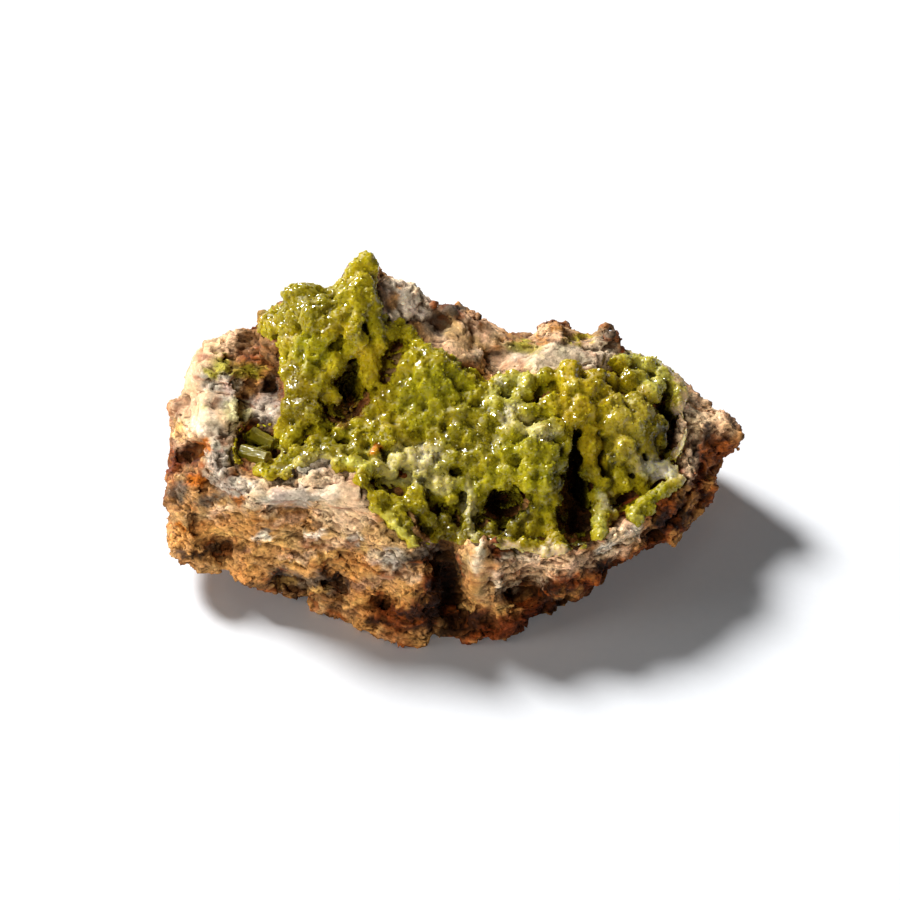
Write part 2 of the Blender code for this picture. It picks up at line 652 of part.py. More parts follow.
def add_prism(shape, px, py, long_px, half_px, turn_degrees):
    """A stubby six-sided crystal lying in the crust's skin."""
    (across, up), = on_view([(px, py)])
    turn = math.radians(turn_degrees)
    half = long_px * PIXEL / 2
    radius = half_px * PIXEL
    ends = []
    for sign in (-1, 1):
        end_across = np.array([across + sign * half * math.cos(turn)])
        end_up = np.array([up + sign * half * math.sin(turn)])
        pocket = dimples(end_across, end_up, [CRUST_HOLLOWS["pocket"]])
        sunk = PRISM_IN_POCKET * pocket + PRISM_SINK * radius
        ends.append(Vector(seen(end_across, end_up, form(end_across, end_up) - sunk)[0]))
    axis = ends[1] - ends[0]
    place = Matrix.Translation((ends[0] + ends[1]) / 2)
    place = place @ axis.to_track_quat("Z", "Y").to_matrix().to_4x4()
    bmesh.ops.create_cone(
        shape,
        cap_ends=True,
        segments=6,
        radius1=radius,
        radius2=radius * PRISM_TAPER,
        depth=axis.length,
        matrix=place,
    )


def roughen_crust(obj):
    """Gives the skin between the lumps the small unevenness of grown crystal."""
    mesh = obj.data
    moved = points_of(mesh)
    for index, vertex in enumerate(mesh.vertices):
        swell = noise.fractal(vertex.co / CRYSTAL_SIZE, *CRYSTAL_NOISE) * CRYSTAL_SWELL
        moved[index] += np.array(vertex.normal) * swell
    move_points(mesh, moved)


def crust_front(across, up):
    lining = dimples(across, up, CRUST_HOLLOWS.values()) * LINING_SHARE
    return rock_front(across, up) + CRUST_SKIN + lining


def crust_back(across, up, front):
    return front - CRUST_SKIN - CRUST_ROOT


def make_crust(parts, rock, cutters):
    crust = slab_from("pyromorphite_crust", CRUST_EDGE, parts)
    shape_slab(crust, crust_front, crust_back)
    shape = bmesh.new()
    shape.from_mesh(crust.data)
    for group in LUMPS.values():
        for lump in group:
            add_lump(shape, *lump)
    for prism in PRISMS.values():
        add_prism(shape, *prism)
    shape.to_mesh(crust.data)
    shape.free()
    remesh(crust, CRUST_VOXEL)
    roughen_crust(crust)
    keep_largest_body(crust)
    thin_to(crust, CRUST_TRIANGLES)

    seat = add_object("rock with its gap", rock.data.copy(), cutters)
    seat.hide_render = True
    seat.display_type = "WIRE"
    grow = seat.modifiers.new("gap", "DISPLACE")
    grow.strength = FIT_GAP
    grow.mid_level = 0.0
    bake_modifiers(seat)
    trim = crust.modifiers.new("seat", "BOOLEAN")
    trim.operation = "DIFFERENCE"
    trim.object = seat
    trim.solver = "EXACT"
    bake_modifiers(crust)
    merge_slivers(crust)
    keep_largest_body(crust)
    return crust


def main():
    clear_scene()
    parts = collection("pyromorphite specimen")
    cutters = collection("cutters")
    rock = make_rock(parts)
    crust = make_crust(parts, rock, cutters)
    rock.data.materials.clear()
    rock.data.materials.append(make_material("stained host rock", ROCK_COLOUR, ROCK_ROUGHNESS))
    crust.data.materials.clear()
    crust.data.materials.append(make_material("pyromorphite", CRUST_COLOUR, CRUST_ROUGHNESS))
    for obj in (rock, crust):
        obj.data.transform(Matrix.Translation(TO_ORIGIN))
        low, high = points_of(obj.data).min(0) / MM, points_of(obj.data).max(0) / MM
        print(obj.name, len(obj.data.polygons), "faces, mm:", low.round(2), high.round(2))
    for obj in list(cutters.objects):
        bpy.data.objects.remove(obj)


main()
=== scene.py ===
# %% [markdown]
# # A pyromorphite specimen
#
# The real object is one loose piece of mineral, about 80 mm wide: a rust-stained, layered host
# rock with a hollow in its upper side, and a crust of yellow-green pyromorphite crystals that
# lines the hollow and climbs its back wall. Nothing on it moves.
#
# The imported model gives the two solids, `matrix` and `pyromorphite_crust`, in metres. Each cell
# below takes one step toward the finished look: first the fine shape of the rock, then its
# stains, then the crust, lump by lump, then the small crystals on it, and last the table, the
# lights and the camera.

# %% Frame
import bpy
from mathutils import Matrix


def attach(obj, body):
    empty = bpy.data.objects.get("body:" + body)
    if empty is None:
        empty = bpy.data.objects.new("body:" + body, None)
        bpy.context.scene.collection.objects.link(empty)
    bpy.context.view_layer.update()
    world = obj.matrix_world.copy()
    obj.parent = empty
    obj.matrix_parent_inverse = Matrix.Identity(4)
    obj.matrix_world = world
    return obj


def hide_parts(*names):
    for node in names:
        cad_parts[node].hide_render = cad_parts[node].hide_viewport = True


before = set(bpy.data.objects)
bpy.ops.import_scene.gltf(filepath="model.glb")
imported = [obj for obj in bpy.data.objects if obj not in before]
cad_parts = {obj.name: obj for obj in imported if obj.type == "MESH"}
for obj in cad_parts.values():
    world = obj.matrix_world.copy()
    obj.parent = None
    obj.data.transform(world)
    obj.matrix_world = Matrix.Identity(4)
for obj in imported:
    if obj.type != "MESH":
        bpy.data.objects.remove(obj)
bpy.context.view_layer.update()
print("nodes of the frame:", sorted(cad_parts))

# %% Modules
import math
import random

import bmesh
import bpy
import numpy as np
from mathutils import Matrix, Vector, noise
from mathutils.bvhtree import BVHTree

# %% [markdown]
# ## Places on the specimen
#
# A natural thing has no drawing to take sizes from, so its details are laid out as they look
# from the front, 45 degrees above the table. A place is named in pixels across and down in that
# view. The width of the specimen, 80 mm or 578 pixels, turns them into metres. Three axes
# describe the view: across, up in the view, and toward the eye. Casting a ray from the eye onto
# a solid then finds the point in space, so a detail always sits on what carries it.

# %% The view and its axes
MM = 0.001
WIDTH = 80 * MM
WIDTH_PX = 578
PIXEL = WIDTH / WIDTH_PX
VIEW_ELEVATION = math.radians(45)
VIEW_CENTRE_PX = (452, 450)
PHOTO_CENTRE_PX = (450, 450)
PHOTO_SIDE_PX = 900
VIEW_ORIGIN = Vector((-0.2 * MM, 16.0 * MM, 0))

ACROSS = Vector((1, 0, 0))
UP = Vector((0, math.sin(VIEW_ELEVATION), math.cos(VIEW_ELEVATION)))
TOWARD = Vector((0, -math.cos(VIEW_ELEVATION), math.sin(VIEW_ELEVATION)))
VIEW_AXES = np.array((ACROSS, UP, TOWARD))
FAR = 0.2

print("one pixel is", round(PIXEL / MM, 4), "mm")


# %% From pixels to space and back
def on_view(px, py):
    """A place in pixels as metres across and up in the view."""
    return (px - VIEW_CENTRE_PX[0]) * PIXEL, (VIEW_CENTRE_PX[1] - py) * PIXEL


def in_view(points):
    """Points in space as rows of pixels across, pixels down and metres toward the eye."""
    seen = (np.asarray(points) - np.array(VIEW_ORIGIN)) @ VIEW_AXES.T
    seen[:, 0] = VIEW_CENTRE_PX[0] + seen[:, 0] / PIXEL
    seen[:, 1] = VIEW_CENTRE_PX[1] - seen[:, 1] / PIXEL
    return seen


def at_depth(px, py, toward):
    """The point in space at a place of the view and a distance toward the eye."""
    across, up = on_view(px, py)
    return VIEW_ORIGIN + across * ACROSS + up * UP + toward * TOWARD


def first_hit(tree, px, py):
    """The first point of a solid that the eye meets at a place, and the way it faces."""
    hit, normal, _, _ = tree.ray_cast(at_depth(px, py, FAR), -TOWARD)
    return hit, normal


# %% [markdown]
# ## Small helpers
#
# Most steps below do one of a few things: copy a solid, run modifiers and keep the result as a
# plain mesh, or move points. Each gets one short function, so that the steps themselves read as
# what they do to the stone.

# %% Mesh helpers
def new_object(name, mesh):
    made = bpy.data.objects.new(name, mesh)
    bpy.context.scene.collection.objects.link(made)
    return made


def merged_copy(node, name):
    """A copy of a solid of the frame with its loose triangles joined into one skin."""
    shape = bmesh.new()
    shape.from_mesh(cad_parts[node].data)
    bmesh.ops.remove_doubles(shape, verts=shape.verts[:], dist=0.001 * MM)
    mesh = bpy.data.meshes.new(name)
    shape.to_mesh(mesh)
    shape.free()
    return new_object(name, mesh)


def bake(piece):
    """Runs a piece's modifiers and keeps the result as its plain mesh."""
    graph = bpy.context.evaluated_depsgraph_get()
    graph.update()
    mesh = bpy.data.meshes.new_from_object(
        piece.evaluated_get(graph), preserve_all_data_layers=True, depsgraph=graph
    )
    piece.modifiers.clear()
    piece.data = mesh
    return piece


def remesh(piece, voxel):
    modifier = piece.modifiers.new("even skin", "REMESH")
    modifier.mode = "VOXEL"
    modifier.voxel_size = voxel
    modifier.use_smooth_shade = True
    return bake(piece)


def triangles_in(mesh):
    return sum(len(face.vertices) - 2 for face in mesh.polygons)


def thin_to(piece, triangles):
    """Decimates a piece to at most about the given number of triangles."""
    count = triangles_in(piece.data)
    if count > triangles:
        modifier = piece.modifiers.new("fewer faces", "DECIMATE")
        modifier.ratio = triangles / count
        bake(piece)
    return piece


def rows_of(items, key):
    flat = np.empty(len(items) * 3, np.float32)
    items.foreach_get(key, flat)
    return flat.reshape(-1, 3).astype(float)


def points_of(mesh):
    return rows_of(mesh.vertices, "co")


def normals_of(mesh):
    return rows_of(mesh.vertex_normals, "vector")


def move_points(mesh, points):
    mesh.vertices.foreach_set("co", np.asarray(points, np.float32).ravel())
    mesh.update()


def tree_of(piece):
    return BVHTree.FromPolygons(
        [vertex.co for vertex in piece.data.vertices],
        [face.vertices for face in piece.data.polygons],
    )


def store(mesh, name, kind, values):
    """Keeps a value for every point of a mesh as an attribute."""
    keys = {"FLOAT": "value", "FLOAT_VECTOR": "vector", "FLOAT_COLOR": "color"}
    layer = mesh.attributes.new(name, kind, "POINT")
    layer.data.foreach_set(keys[kind], np.asarray(values, np.float32).ravel())


# %% [markdown]
# Node trees are long to write out. `add` makes a node with its settings, and for each input
# takes a plain value, a colour code or the socket that feeds it. `calc` and `along` are the two
# math nodes, and the short functions after them are the steps that most trees here share.


# %% Node helpers
def linear(code):
    """A colour code as the linear red, green and blue that shaders use."""
    parts = [int(code[start : start + 2], 16) / 255 for start in (1, 3, 5)]
    return np.array([c / 12.92 if c <= 0.04045 else ((c + 0.055) / 1.055) ** 2.4 for c in parts])


def fill(tree, socket, value):
    """Gives a socket what feeds it: another socket, a colour code or a plain value."""
    if isinstance(value, bpy.types.NodeSocket):
        tree.links.new(value, socket)
    elif isinstance(value, str) and value.startswith("#"):
        socket.default_value = (*linear(value), 1)
    else:
        socket.default_value = value


def add(tree, kind, inputs=None, **settings):
    """A new node of a kind, with its inputs by name or number and its settings."""
    node = tree.nodes.new(kind)
    for name, value in settings.items():
        setattr(node, name, value)
    for key, value in (inputs or {}).items():
        fill(tree, node.inputs[key], value)
    return node


def calc(tree, operation, *values):
    node = add(tree, "ShaderNodeMath", dict(enumerate(values)), operation=operation)
    return node.outputs[0]


def along(tree, operation, *vectors):
    node = add(tree, "ShaderNodeVectorMath", dict(enumerate(vectors)), operation=operation)
    return node.outputs["Value" if operation == "DOT_PRODUCT" else "Vector"]


def scaled(tree, vector, factor):
    node = add(tree, "ShaderNodeVectorMath", {0: vector, "Scale": factor}, operation="SCALE")
    return node.outputs["Vector"]


def from_half(tree, colour):
    """A colour that varies about one half as a vector that varies about zero."""
    return along(tree, "SUBTRACT", colour, (0.5, 0.5, 0.5))


def red_of(tree, colour):
    return along(tree, "DOT_PRODUCT", colour, (1, 0, 0))


def ramp(tree, value, low, high, to_low=0.0, to_high=1.0):
    """A smooth step from one value to another."""
    node = add(
        tree,
        "ShaderNodeMapRange",
        {"Value": value, "From Min": low, "From Max": high, "To Min": to_low, "To Max": to_high},
        interpolation_type="SMOOTHSTEP",
    )
    return node.outputs["Result"]


def noise_in(tree, place, scale, detail, **settings):
    """The outputs of a noise texture."""
    values = {"Vector": place, "Scale": scale, "Detail": detail, **settings}
    return add(tree, "ShaderNodeTexNoise", values).outputs


def cells_in(tree, place, scale):
    """The outputs of a Voronoi texture."""
    return add(tree, "ShaderNodeTexVoronoi", {"Vector": place, "Scale": scale}).outputs


def geometry_tree(name, floats, others=()):
    """An empty Geometry Nodes tree with a named input for each size."""
    tree = bpy.data.node_groups.new(name, "GeometryNodeTree")
    tree.interface.new_socket("Geometry", in_out="INPUT", socket_type="NodeSocketGeometry")
    tree.interface.new_socket("Geometry", in_out="OUTPUT", socket_type="NodeSocketGeometry")
    for size, kind in [(size, "Float") for size in floats] + list(others):
        tree.interface.new_socket(size, in_out="INPUT", socket_type="NodeSocket" + kind)
    start = tree.nodes.new("NodeGroupInput")
    end = tree.nodes.new("NodeGroupOutput")
    return tree, start.outputs, end.inputs[0]


def marked(tree, name, kind="FLOAT"):
    """The value that a point attribute has in a Geometry Nodes tree."""
    node = add(tree, "GeometryNodeInputNamedAttribute", {"Name": name}, data_type=kind)
    return next(socket for socket in node.outputs if socket.enabled)


def push_out(tree, geometry, height):
    """Moves every point along its normal."""
    normal = add(tree, "GeometryNodeInputNormal").outputs[0]
    values = {"Geometry": geometry, "Offset": scaled(tree, normal, height)}
    return add(tree, "GeometryNodeSetPosition", values).outputs[0]


def use_tree(piece, tree, **sizes):
    """Puts a tree on a piece with its sizes set by socket identifier."""
    modifier = piece.modifiers.new(tree.name, "NODES")
    modifier.node_group = tree
    for socket in tree.interface.items_tree:
        key = socket.name.replace(" ", "_").lower()
        if key in sizes:
            modifier[socket.identifier] = sizes[key]
    return modifier


# %% [markdown]
# ## The host rock
#
# The rock is broken all round: flat fracture faces that meet at ledges, thin layers that run
# almost level and rise to the right, cracks between them, and a gritty skin. It could be
# sculpted by hand, but a broken face follows rules, so it is made in steps from coarse to fine,
# each on a finer mesh: cracks drawn as lines, then fracture faces and layers, then grit. The
# copy starts as the frame's own solid, which keeps the size and the silhouette.

# %% A fine skin over the rock's solid
ROCK_VOXEL = 0.45 * MM
rock = merged_copy("matrix", "host_rock")
remesh(rock, ROCK_VOXEL)
print("rock skin:", triangles_in(rock.data), "triangles")


# %% How near a point is to what the eye sees
def front_depth(piece, points):
    """How far behind the visible skin each point lies, as seen by the eye."""
    skin = tree_of(piece)
    seen = in_view(points)
    depth = np.full(len(points), FAR)
    for index, (px, py, toward) in enumerate(seen.tolist()):
        hit, _ = first_hit(skin, px, py)
        if hit:
            depth[index] = (hit - VIEW_ORIGIN).dot(TOWARD) - toward
    return depth


FRONT_FADE = 3 * MM


def front_share(piece, points, reach):
    """1 on the side that the eye sees, and less with depth behind it."""
    return np.clip(reach - front_depth(piece, points) / FRONT_FADE, 0, 1)


def oval(seen, px, py, half_wide, half_tall, turn=0):
    """How far out in a turned oval each seen point lies: 0 at the middle, 1 at the edge."""
    turn = math.radians(turn)
    right = seen[:, 0] - px
    above = py - seen[:, 1]
    long_way = (right * math.cos(turn) + above * math.sin(turn)) / half_wide
    short_way = (above * math.cos(turn) - right * math.sin(turn)) / half_tall
    return np.hypot(long_way, short_way)


def line_gap(seen, line):
    """How far each seen point lies from a line of pixels, in pixels."""
    gap = np.full(len(seen), np.inf)
    at = seen[:, :2]
    for start, end in zip(np.array(line[:-1], float), np.array(line[1:], float)):
        run = end - start
        share = np.clip((at - start) @ run / (run @ run), 0, 1)
        gap = np.minimum(gap, np.hypot(*(at - start - share[:, None] * run).T))
    return gap


# %% [markdown]
# Cracks are lines of pixels with a half width and a depth in millimetres; a raised vein or edge
# has a negative depth. Dents are ovals: across, down, half sizes, turn, depth. Only the side
# that faces the eye takes them. The hidden sides get their relief from the fracture step.

# %% Cracks, veins, dents and knobs
CRACKS = {
    "under the grey band": ([(262, 505), (284, 512), (318, 512), (324, 521)], 2.2, 1.2),
    "corner crack": ([(238, 522), (241, 532), (249, 543)], 1.6, 0.8),
    "long fissure": ([(256, 570), (275, 566), (307, 552), (330, 549)], 1.8, 0.9),
    "diagonal fissure": ([(347, 568), (366, 566), (389, 558)], 2.0, 1.0),
    "top of the cleft": ([(400, 552), (420, 556), (437, 548)], 2.5, 1.4),
    "edge of the block": ([(359, 480), (364, 500), (369, 520)], 2.0, -0.5),
    "foot of the left wall": ([(172, 550), (195, 543), (215, 540), (236, 545)], 2.4, 1.3),
    "left wall fissure": ([(176, 512), (196, 505), (222, 503)], 1.4, 0.7),
    "left wall seam": ([(174, 530), (200, 522), (228, 521)], 1.4, 0.6),
    "seam between nodules": ([(382, 590), (395, 600), (398, 618)], 2.0, 1.0),
    "shell ridge": ([(306, 571), (314, 581), (322, 588), (340, 590)], 1.8, -0.9),
    "lit wall seam": ([(497, 548), (490, 570), (496, 592)], 1.6, 0.7),
    "cleft": ([(444, 548), (449, 580), (455, 614)], 10.0, 3.2),
    "dark foot of the cleft": ([(455, 614), (462, 626)], 8.0, 1.6),
    "cream vein": ([(484, 535), (478, 556), (470, 577)], 2.4, -0.4),
    "roof of the ledge": ([(484, 590), (500, 577), (530, 574), (556, 582)], 2.4, 1.4),
    "bottom ridge": ([(455, 612), (485, 606), (515, 594)], 2.0, 1.1),
    "lowest ridge": ([(462, 625), (490, 619), (520, 606)], 2.0, 0.9),
    "right wall fissure": ([(652, 545), (668, 524), (686, 505), (700, 480)], 2.4, 1.2),
    "behind the knob": ([(700, 425), (697, 450), (706, 470)], 3.0, 1.3),
    "knob crack": ([(722, 428), (716, 440), (722, 452)], 2.2, 0.9),
    "rim crack": ([(540, 575), (556, 566), (575, 570)], 1.8, 0.7),
    "back slope, upper": ([(440, 312), (462, 318), (483, 335)], 1.5, 0.7),
    "back slope, middle": ([(470, 316), (476, 335), (470, 352)], 1.6, 0.8),
    "back slope, lower": ([(455, 330), (470, 345), (486, 352)], 1.4, 0.7),
    "back rock crack": ([(395, 300), (404, 312), (400, 322)], 1.8, 0.9),
    "back rock seam": ([(411, 284), (418, 300), (428, 312)], 1.6, 0.6),
    "pit in the left rim": ([(214, 352), (222, 348)], 2.5, 0.8),
}
DENTS = {
    "grey pit": (268, 386, 9, 8, -20, 1.6),
    "tan crystal in the pit": (259, 384, 6, 8, 25, -1.4),
    "rusty slot": (190, 452, 13, 7, 30, 2.0),
    "knob on the left rim": (168, 406, 7, 7, 0, -0.8),
    "left shell": (289, 583, 16, 9, -12, 1.0),
    "right shell": (331, 581, 14, 9, -15, 1.0),
    "ledge hollow": (524, 590, 25, 10, 14, 3.0),
    "hollow by the rim nodule": (556, 606, 14, 7, 25, 1.6),
    "undercut of the left wall": (226, 547, 16, 8, 10, 1.8),
    "lump at the left foot": (249, 577, 14, 11, 0, -1.0),
    "pit between nodules": (382, 603, 8, 7, 0, 1.4),
    "dark end of the long crack": (416, 556, 10, 5, 0, 1.6),
    "front rim hump": (565, 563, 14, 8, 0, -0.6),
    "front rim dip": (596, 566, 8, 7, 30, 0.9),
    "back left of the band": (505, 350, 10, 6, 0, 0.7),
    "etched hollow": (526, 347, 16, 7, 0, 0.7),
    "grey knob": (613, 332, 7, 7, 0, -0.7),
    "orange tip": (559, 328, 9, 4, 0, -0.5),
    "notch left of the tip": (538, 333, 8, 4, 0, 0.5),
    "upper left rim": (194, 368, 14, 32, -27, -1.3),
    "left of the peak": (330, 284, 22, 9, 25, 1.4),
    "left of the mound": (262, 306, 10, 9, 30, 1.4),
    "behind the mound": (300, 287, 16, 6, 0, 1.0),
}
RELIEF_REACH = 1.5
SHORTEST_WAY = 0.3


def carve_by_view(piece):
    """Sinks cracks and dents into a piece, half along its normals and half away from the eye."""
    points = points_of(piece.data)
    seen = in_view(points)
    front = front_share(piece, points, RELIEF_REACH)
    sink = np.zeros(len(points))
    for line, half_width, depth in CRACKS.values():
        sink += depth * MM * np.exp(-((line_gap(seen, line) / half_width) ** 2))
    for *place, depth in DENTS.values():
        sink += depth * MM * np.exp(-(oval(seen, *place) ** 4))
    inward = -(normals_of(piece.data) + np.array(TOWARD))
    inward /= np.maximum(np.linalg.norm(inward, axis=1), SHORTEST_WAY)[:, None]
    move_points(piece.data, points + inward * (sink * front)[:, None])
    return piece


carve_by_view(rock)
print("cracks and veins:", len(CRACKS), " dents and knobs:", len(DENTS))

# %% [markdown]
# Some stretches of the rock are smooth films and some are porous like a sponge. Two point
# attributes, `smooth` and `porous`, mark them, again as ovals of the view, and the Geometry
# Nodes trees read them. A remesh drops what is marked, so each step marks what its tree reads.

# %% Smooth and porous stretches
SMOOTH_PLACES = {
    "cream film at the left": (206, 412, 24, 28, 0),
    "upper left rim": (194, 368, 15, 34, -27),
    "knob on the left rim": (172, 408, 10, 10, 0),
    "grey band": (292, 498, 32, 12, 0),
    "cream block": (345, 498, 24, 20, 0),
    "back hollow": (436, 326, 14, 14, 0),
    "lit wall": (478, 570, 15, 30, 0),
    "back slope": (460, 326, 12, 10, 0),
    "pink band": (545, 358, 60, 12, 0),
    "right rim": (665, 376, 26, 16, -40),
    "back rock": (402, 300, 22, 18, 0),
    "back slope, lower": (476, 338, 30, 14, 28),
}
POROUS_PLACES = {
    "rusty patch": (250, 343, 18, 17, 0),
    "under the green film": (262, 368, 16, 14, 0),
    "right wall": (688, 490, 30, 60, 15),
    "right knob": (722, 438, 22, 26, 0),
    "low nodules": (412, 610, 30, 24, 0),
    "left foot": (250, 577, 20, 14, 0),
    "lowest edge": (492, 620, 40, 20, 0),
    "rusty slot": (190, 455, 20, 14, 30),
    "rim nodule": (569, 590, 16, 12, 0),
}
MARK_REACH = 2.2
MARK_FADE = 1.8


def mark_ovals(piece, name, places):
    """Stores how far each point is inside any of the ovals, on the side that faces the eye."""
    points = points_of(piece.data)
    seen = in_view(points)
    inside = np.zeros(len(points))
    for place in places.values():
        inside = np.maximum(inside, np.clip(MARK_REACH - MARK_FADE * oval(seen, *place), 0, 1))
    store(piece.data, name, "FLOAT", inside * front_share(piece, points, RELIEF_REACH))


mark_ovals(rock, "smooth", SMOOTH_PLACES)
print("smooth stretches:", len(SMOOTH_PLACES), " porous stretches:", len(POROUS_PLACES))

# %% [markdown]
# ## Fracture faces and layers, in Geometry Nodes
#
# A Voronoi pattern splits the rock into cells, and each cell tilts its stretch of the skin one
# way, which gives flat faces with ledges between them. A second rule counts layers along a
# direction that is almost upright: each layer leans out a little toward its upper edge and then
# steps back. Noise bends both rules, so that no edge runs straight. Geometry Nodes suit this
# because the rule reads the place of each point and moves it along its normal, and the sizes
# stay named inputs.

# %% Small flat faces
def tilted_cells(tree, place, size, slope):
    """Height of small flat faces: each Voronoi cell tilts its own way."""
    cells = cells_in(tree, place, calc(tree, "DIVIDE", 1.0, size))
    from_middle = along(tree, "SUBTRACT", place, cells["Position"])
    tilt = along(tree, "DOT_PRODUCT", from_half(tree, cells["Color"]), from_middle)
    return calc(tree, "MULTIPLY", tilt, slope)


# %% Broken faces
LAYER_WAY = Vector((-0.20, -0.12, 0.97)).normalized()
LAYER_TURN = (0.12, -0.2, 0.0)
WANDER_SCALE = 160.0
WANDER = 3 * MM
LAYER_WAVE = 2.5
LAYER_LEAN = 0.6
LAYER_MIDDLE = 0.8
SMOOTH_FACES = 0.25
fracture, sizes, out = geometry_tree(
    "Broken faces", ("Face size", "Face slope", "Layer pitch", "Layer step")
)
place = add(fracture, "GeometryNodeInputPosition").outputs[0]
wander = noise_in(fracture, place, WANDER_SCALE, 2.0)
strayed = along(
    fracture, "ADD", place, scaled(fracture, from_half(fracture, wander["Color"]), WANDER)
)
face_height = tilted_cells(fracture, strayed, sizes["Face size"], sizes["Face slope"])
level = along(fracture, "DOT_PRODUCT", strayed, tuple(LAYER_WAY))
level = calc(fracture, "DIVIDE", level, sizes["Layer pitch"])
level = calc(fracture, "MULTIPLY_ADD", wander["Fac"], LAYER_WAVE, level)
layer = {"W": calc(fracture, "FLOOR", level)}
layer_chance = add(fracture, "ShaderNodeTexWhiteNoise", layer, noise_dimensions="1D")
layer_lean = calc(
    fracture,
    "MULTIPLY_ADD",
    calc(fracture, "FRACT", level),
    LAYER_LEAN,
    layer_chance.outputs["Value"],
)
layer_height = calc(
    fracture,
    "MULTIPLY",
    calc(fracture, "SUBTRACT", layer_lean, LAYER_MIDDLE),
    sizes["Layer step"],
)
keep = ramp(fracture, marked(fracture, "smooth"), 0.0, 1.0, 1.0, SMOOTH_FACES)
height = calc(fracture, "MULTIPLY", calc(fracture, "ADD", face_height, layer_height), keep)
fracture.links.new(push_out(fracture, sizes["Geometry"], height), out)

use_tree(
    rock,
    fracture,
    face_size=6.5 * MM,
    face_slope=0.5,
    layer_pitch=2.6 * MM,
    layer_step=0.5 * MM,
)
bake(rock)
FINE_VOXEL = 0.31 * MM
remesh(rock, FINE_VOXEL)
print("after the fracture step:", triangles_in(rock.data), "triangles")

# %% [markdown]
# ## Grit, pits and the depth of hollows
#
# The last step adds what is smaller than a layer: chipped faces of two sizes, fibres and narrow
# fissures that follow the layers, sugar-like grit, and the pits of the porous stretches. It
# also stores two attributes for the stains. Blurring the positions along the skin gives a
# smoothed rock, and how far a point lies under that smoothed rock says how hollow it is there:
# `dip` for small hollows, `deep` for large ones.


# %% Depth under the smoothed skin
def store_hollow(tree, geometry, name, rounds):
    """Stores how far each point lies below the blurred skin, in metres."""
    at = add(tree, "GeometryNodeInputPosition").outputs[0]
    blurred = add(
        tree, "GeometryNodeBlurAttribute", {"Iterations": rounds}, data_type="FLOAT_VECTOR"
    )
    socket = next(s for s in blurred.inputs if s.name == "Value" and s.enabled)
    tree.links.new(at, socket)
    smoothed = next(s for s in blurred.outputs if s.enabled)
    facing = add(tree, "GeometryNodeInputNormal").outputs[0]
    under = along(tree, "DOT_PRODUCT", along(tree, "SUBTRACT", smoothed, at), facing)
    stored = add(
        tree,
        "GeometryNodeStoreNamedAttribute",
        {"Geometry": geometry, "Name": name, "Value": under},
        data_type="FLOAT",
        domain="POINT",
    )
    return stored.outputs[0]


# %% Grit
def noise_about_zero(tree, place, size, detail=3.0):
    """Noise from about minus a half to a half."""
    made = noise_in(tree, place, calc(tree, "DIVIDE", 1.0, size), detail)
    return calc(tree, "SUBTRACT", made["Fac"], 0.5)


def noise_height(tree, place, sizes, name, detail=3.0):
    """Noise as high as one of the tree's inputs says, and as wide as another."""
    height = noise_about_zero(tree, place, sizes[name + " size"], detail)
    return calc(tree, "MULTIPLY", height, sizes[name + " height"])


FIBRE_STRETCH = (0.3, 0.5, 1.8)
CHIP_STRETCH = (0.6, 0.8, 1.3)
SMALL_CHIPS = 0.45
FISSURE_SHARE = 0.03
PIT_EDGE = (-0.04, -0.2)
SMOOTH_CHIPS = 0.3
# Rounds of blurring that tell small and large hollows
ROCK_HOLLOWS = {"dip": 6, "deep": 60}
grit, sizes, out = geometry_tree(
    "Grit",
    (
        "Chip size",
        "Chip slope",
        "Fibre size",
        "Fibre height",
        "Fissure size",
        "Fissure depth",
        "Grain size",
        "Grain height",
        "Pit size",
        "Pit depth",
    ),
)
place = add(grit, "GeometryNodeInputPosition").outputs[0]
levelled = add(
    grit,
    "ShaderNodeVectorRotate",
    {"Vector": place, "Rotation": LAYER_TURN},
    rotation_type="EULER_XYZ",
).outputs[0]
stretched = along(grit, "MULTIPLY", levelled, FIBRE_STRETCH)
flattened = along(grit, "MULTIPLY", levelled, CHIP_STRETCH)
large_chips = tilted_cells(grit, flattened, sizes["Chip size"], sizes["Chip slope"])
half_size = calc(grit, "MULTIPLY", sizes["Chip size"], SMALL_CHIPS)
small_chips = tilted_cells(grit, place, half_size, sizes["Chip slope"])
fibres = noise_height(grit, stretched, sizes, "Fibre")
grains = noise_height(grit, place, sizes, "Grain")
split = calc(grit, "ABSOLUTE", noise_about_zero(grit, stretched, sizes["Fissure size"], 2.0))
fissures = ramp(grit, split, 0.0, FISSURE_SHARE, -1.0, 0.0)
fibres = calc(grit, "ADD", fibres, calc(grit, "MULTIPLY", fissures, sizes["Fissure depth"]))
pits = ramp(grit, noise_about_zero(grit, place, sizes["Pit size"], 1.0), *PIT_EDGE, 0.0, -1.0)
pits = calc(grit, "MULTIPLY", pits, marked(grit, "porous"))
pit_height = calc(grit, "MULTIPLY", pits, sizes["Pit depth"])
height = calc(grit, "ADD", calc(grit, "ADD", large_chips, small_chips), fibres)
keep = ramp(grit, marked(grit, "smooth"), 0.0, 1.0, 1.0, SMOOTH_CHIPS)
height = calc(grit, "MULTIPLY", height, keep)
height = calc(grit, "ADD", height, calc(grit, "ADD", grains, pit_height))
moved = push_out(grit, sizes["Geometry"], height)
for name, rounds in ROCK_HOLLOWS.items():
    moved = store_hollow(grit, moved, name, rounds)
grit.links.new(moved, out)

mark_ovals(rock, "smooth", SMOOTH_PLACES)
mark_ovals(rock, "porous", POROUS_PLACES)
use_tree(
    rock,
    grit,
    chip_size=2.6 * MM,
    chip_slope=0.45,
    fibre_size=1.5 * MM,
    fibre_height=0.5 * MM,
    fissure_size=3.2 * MM,
    fissure_depth=0.7 * MM,
    grain_size=0.7 * MM,
    grain_height=0.26 * MM,
    pit_size=1.7 * MM,
    pit_depth=0.8 * MM,
)
bake(rock)


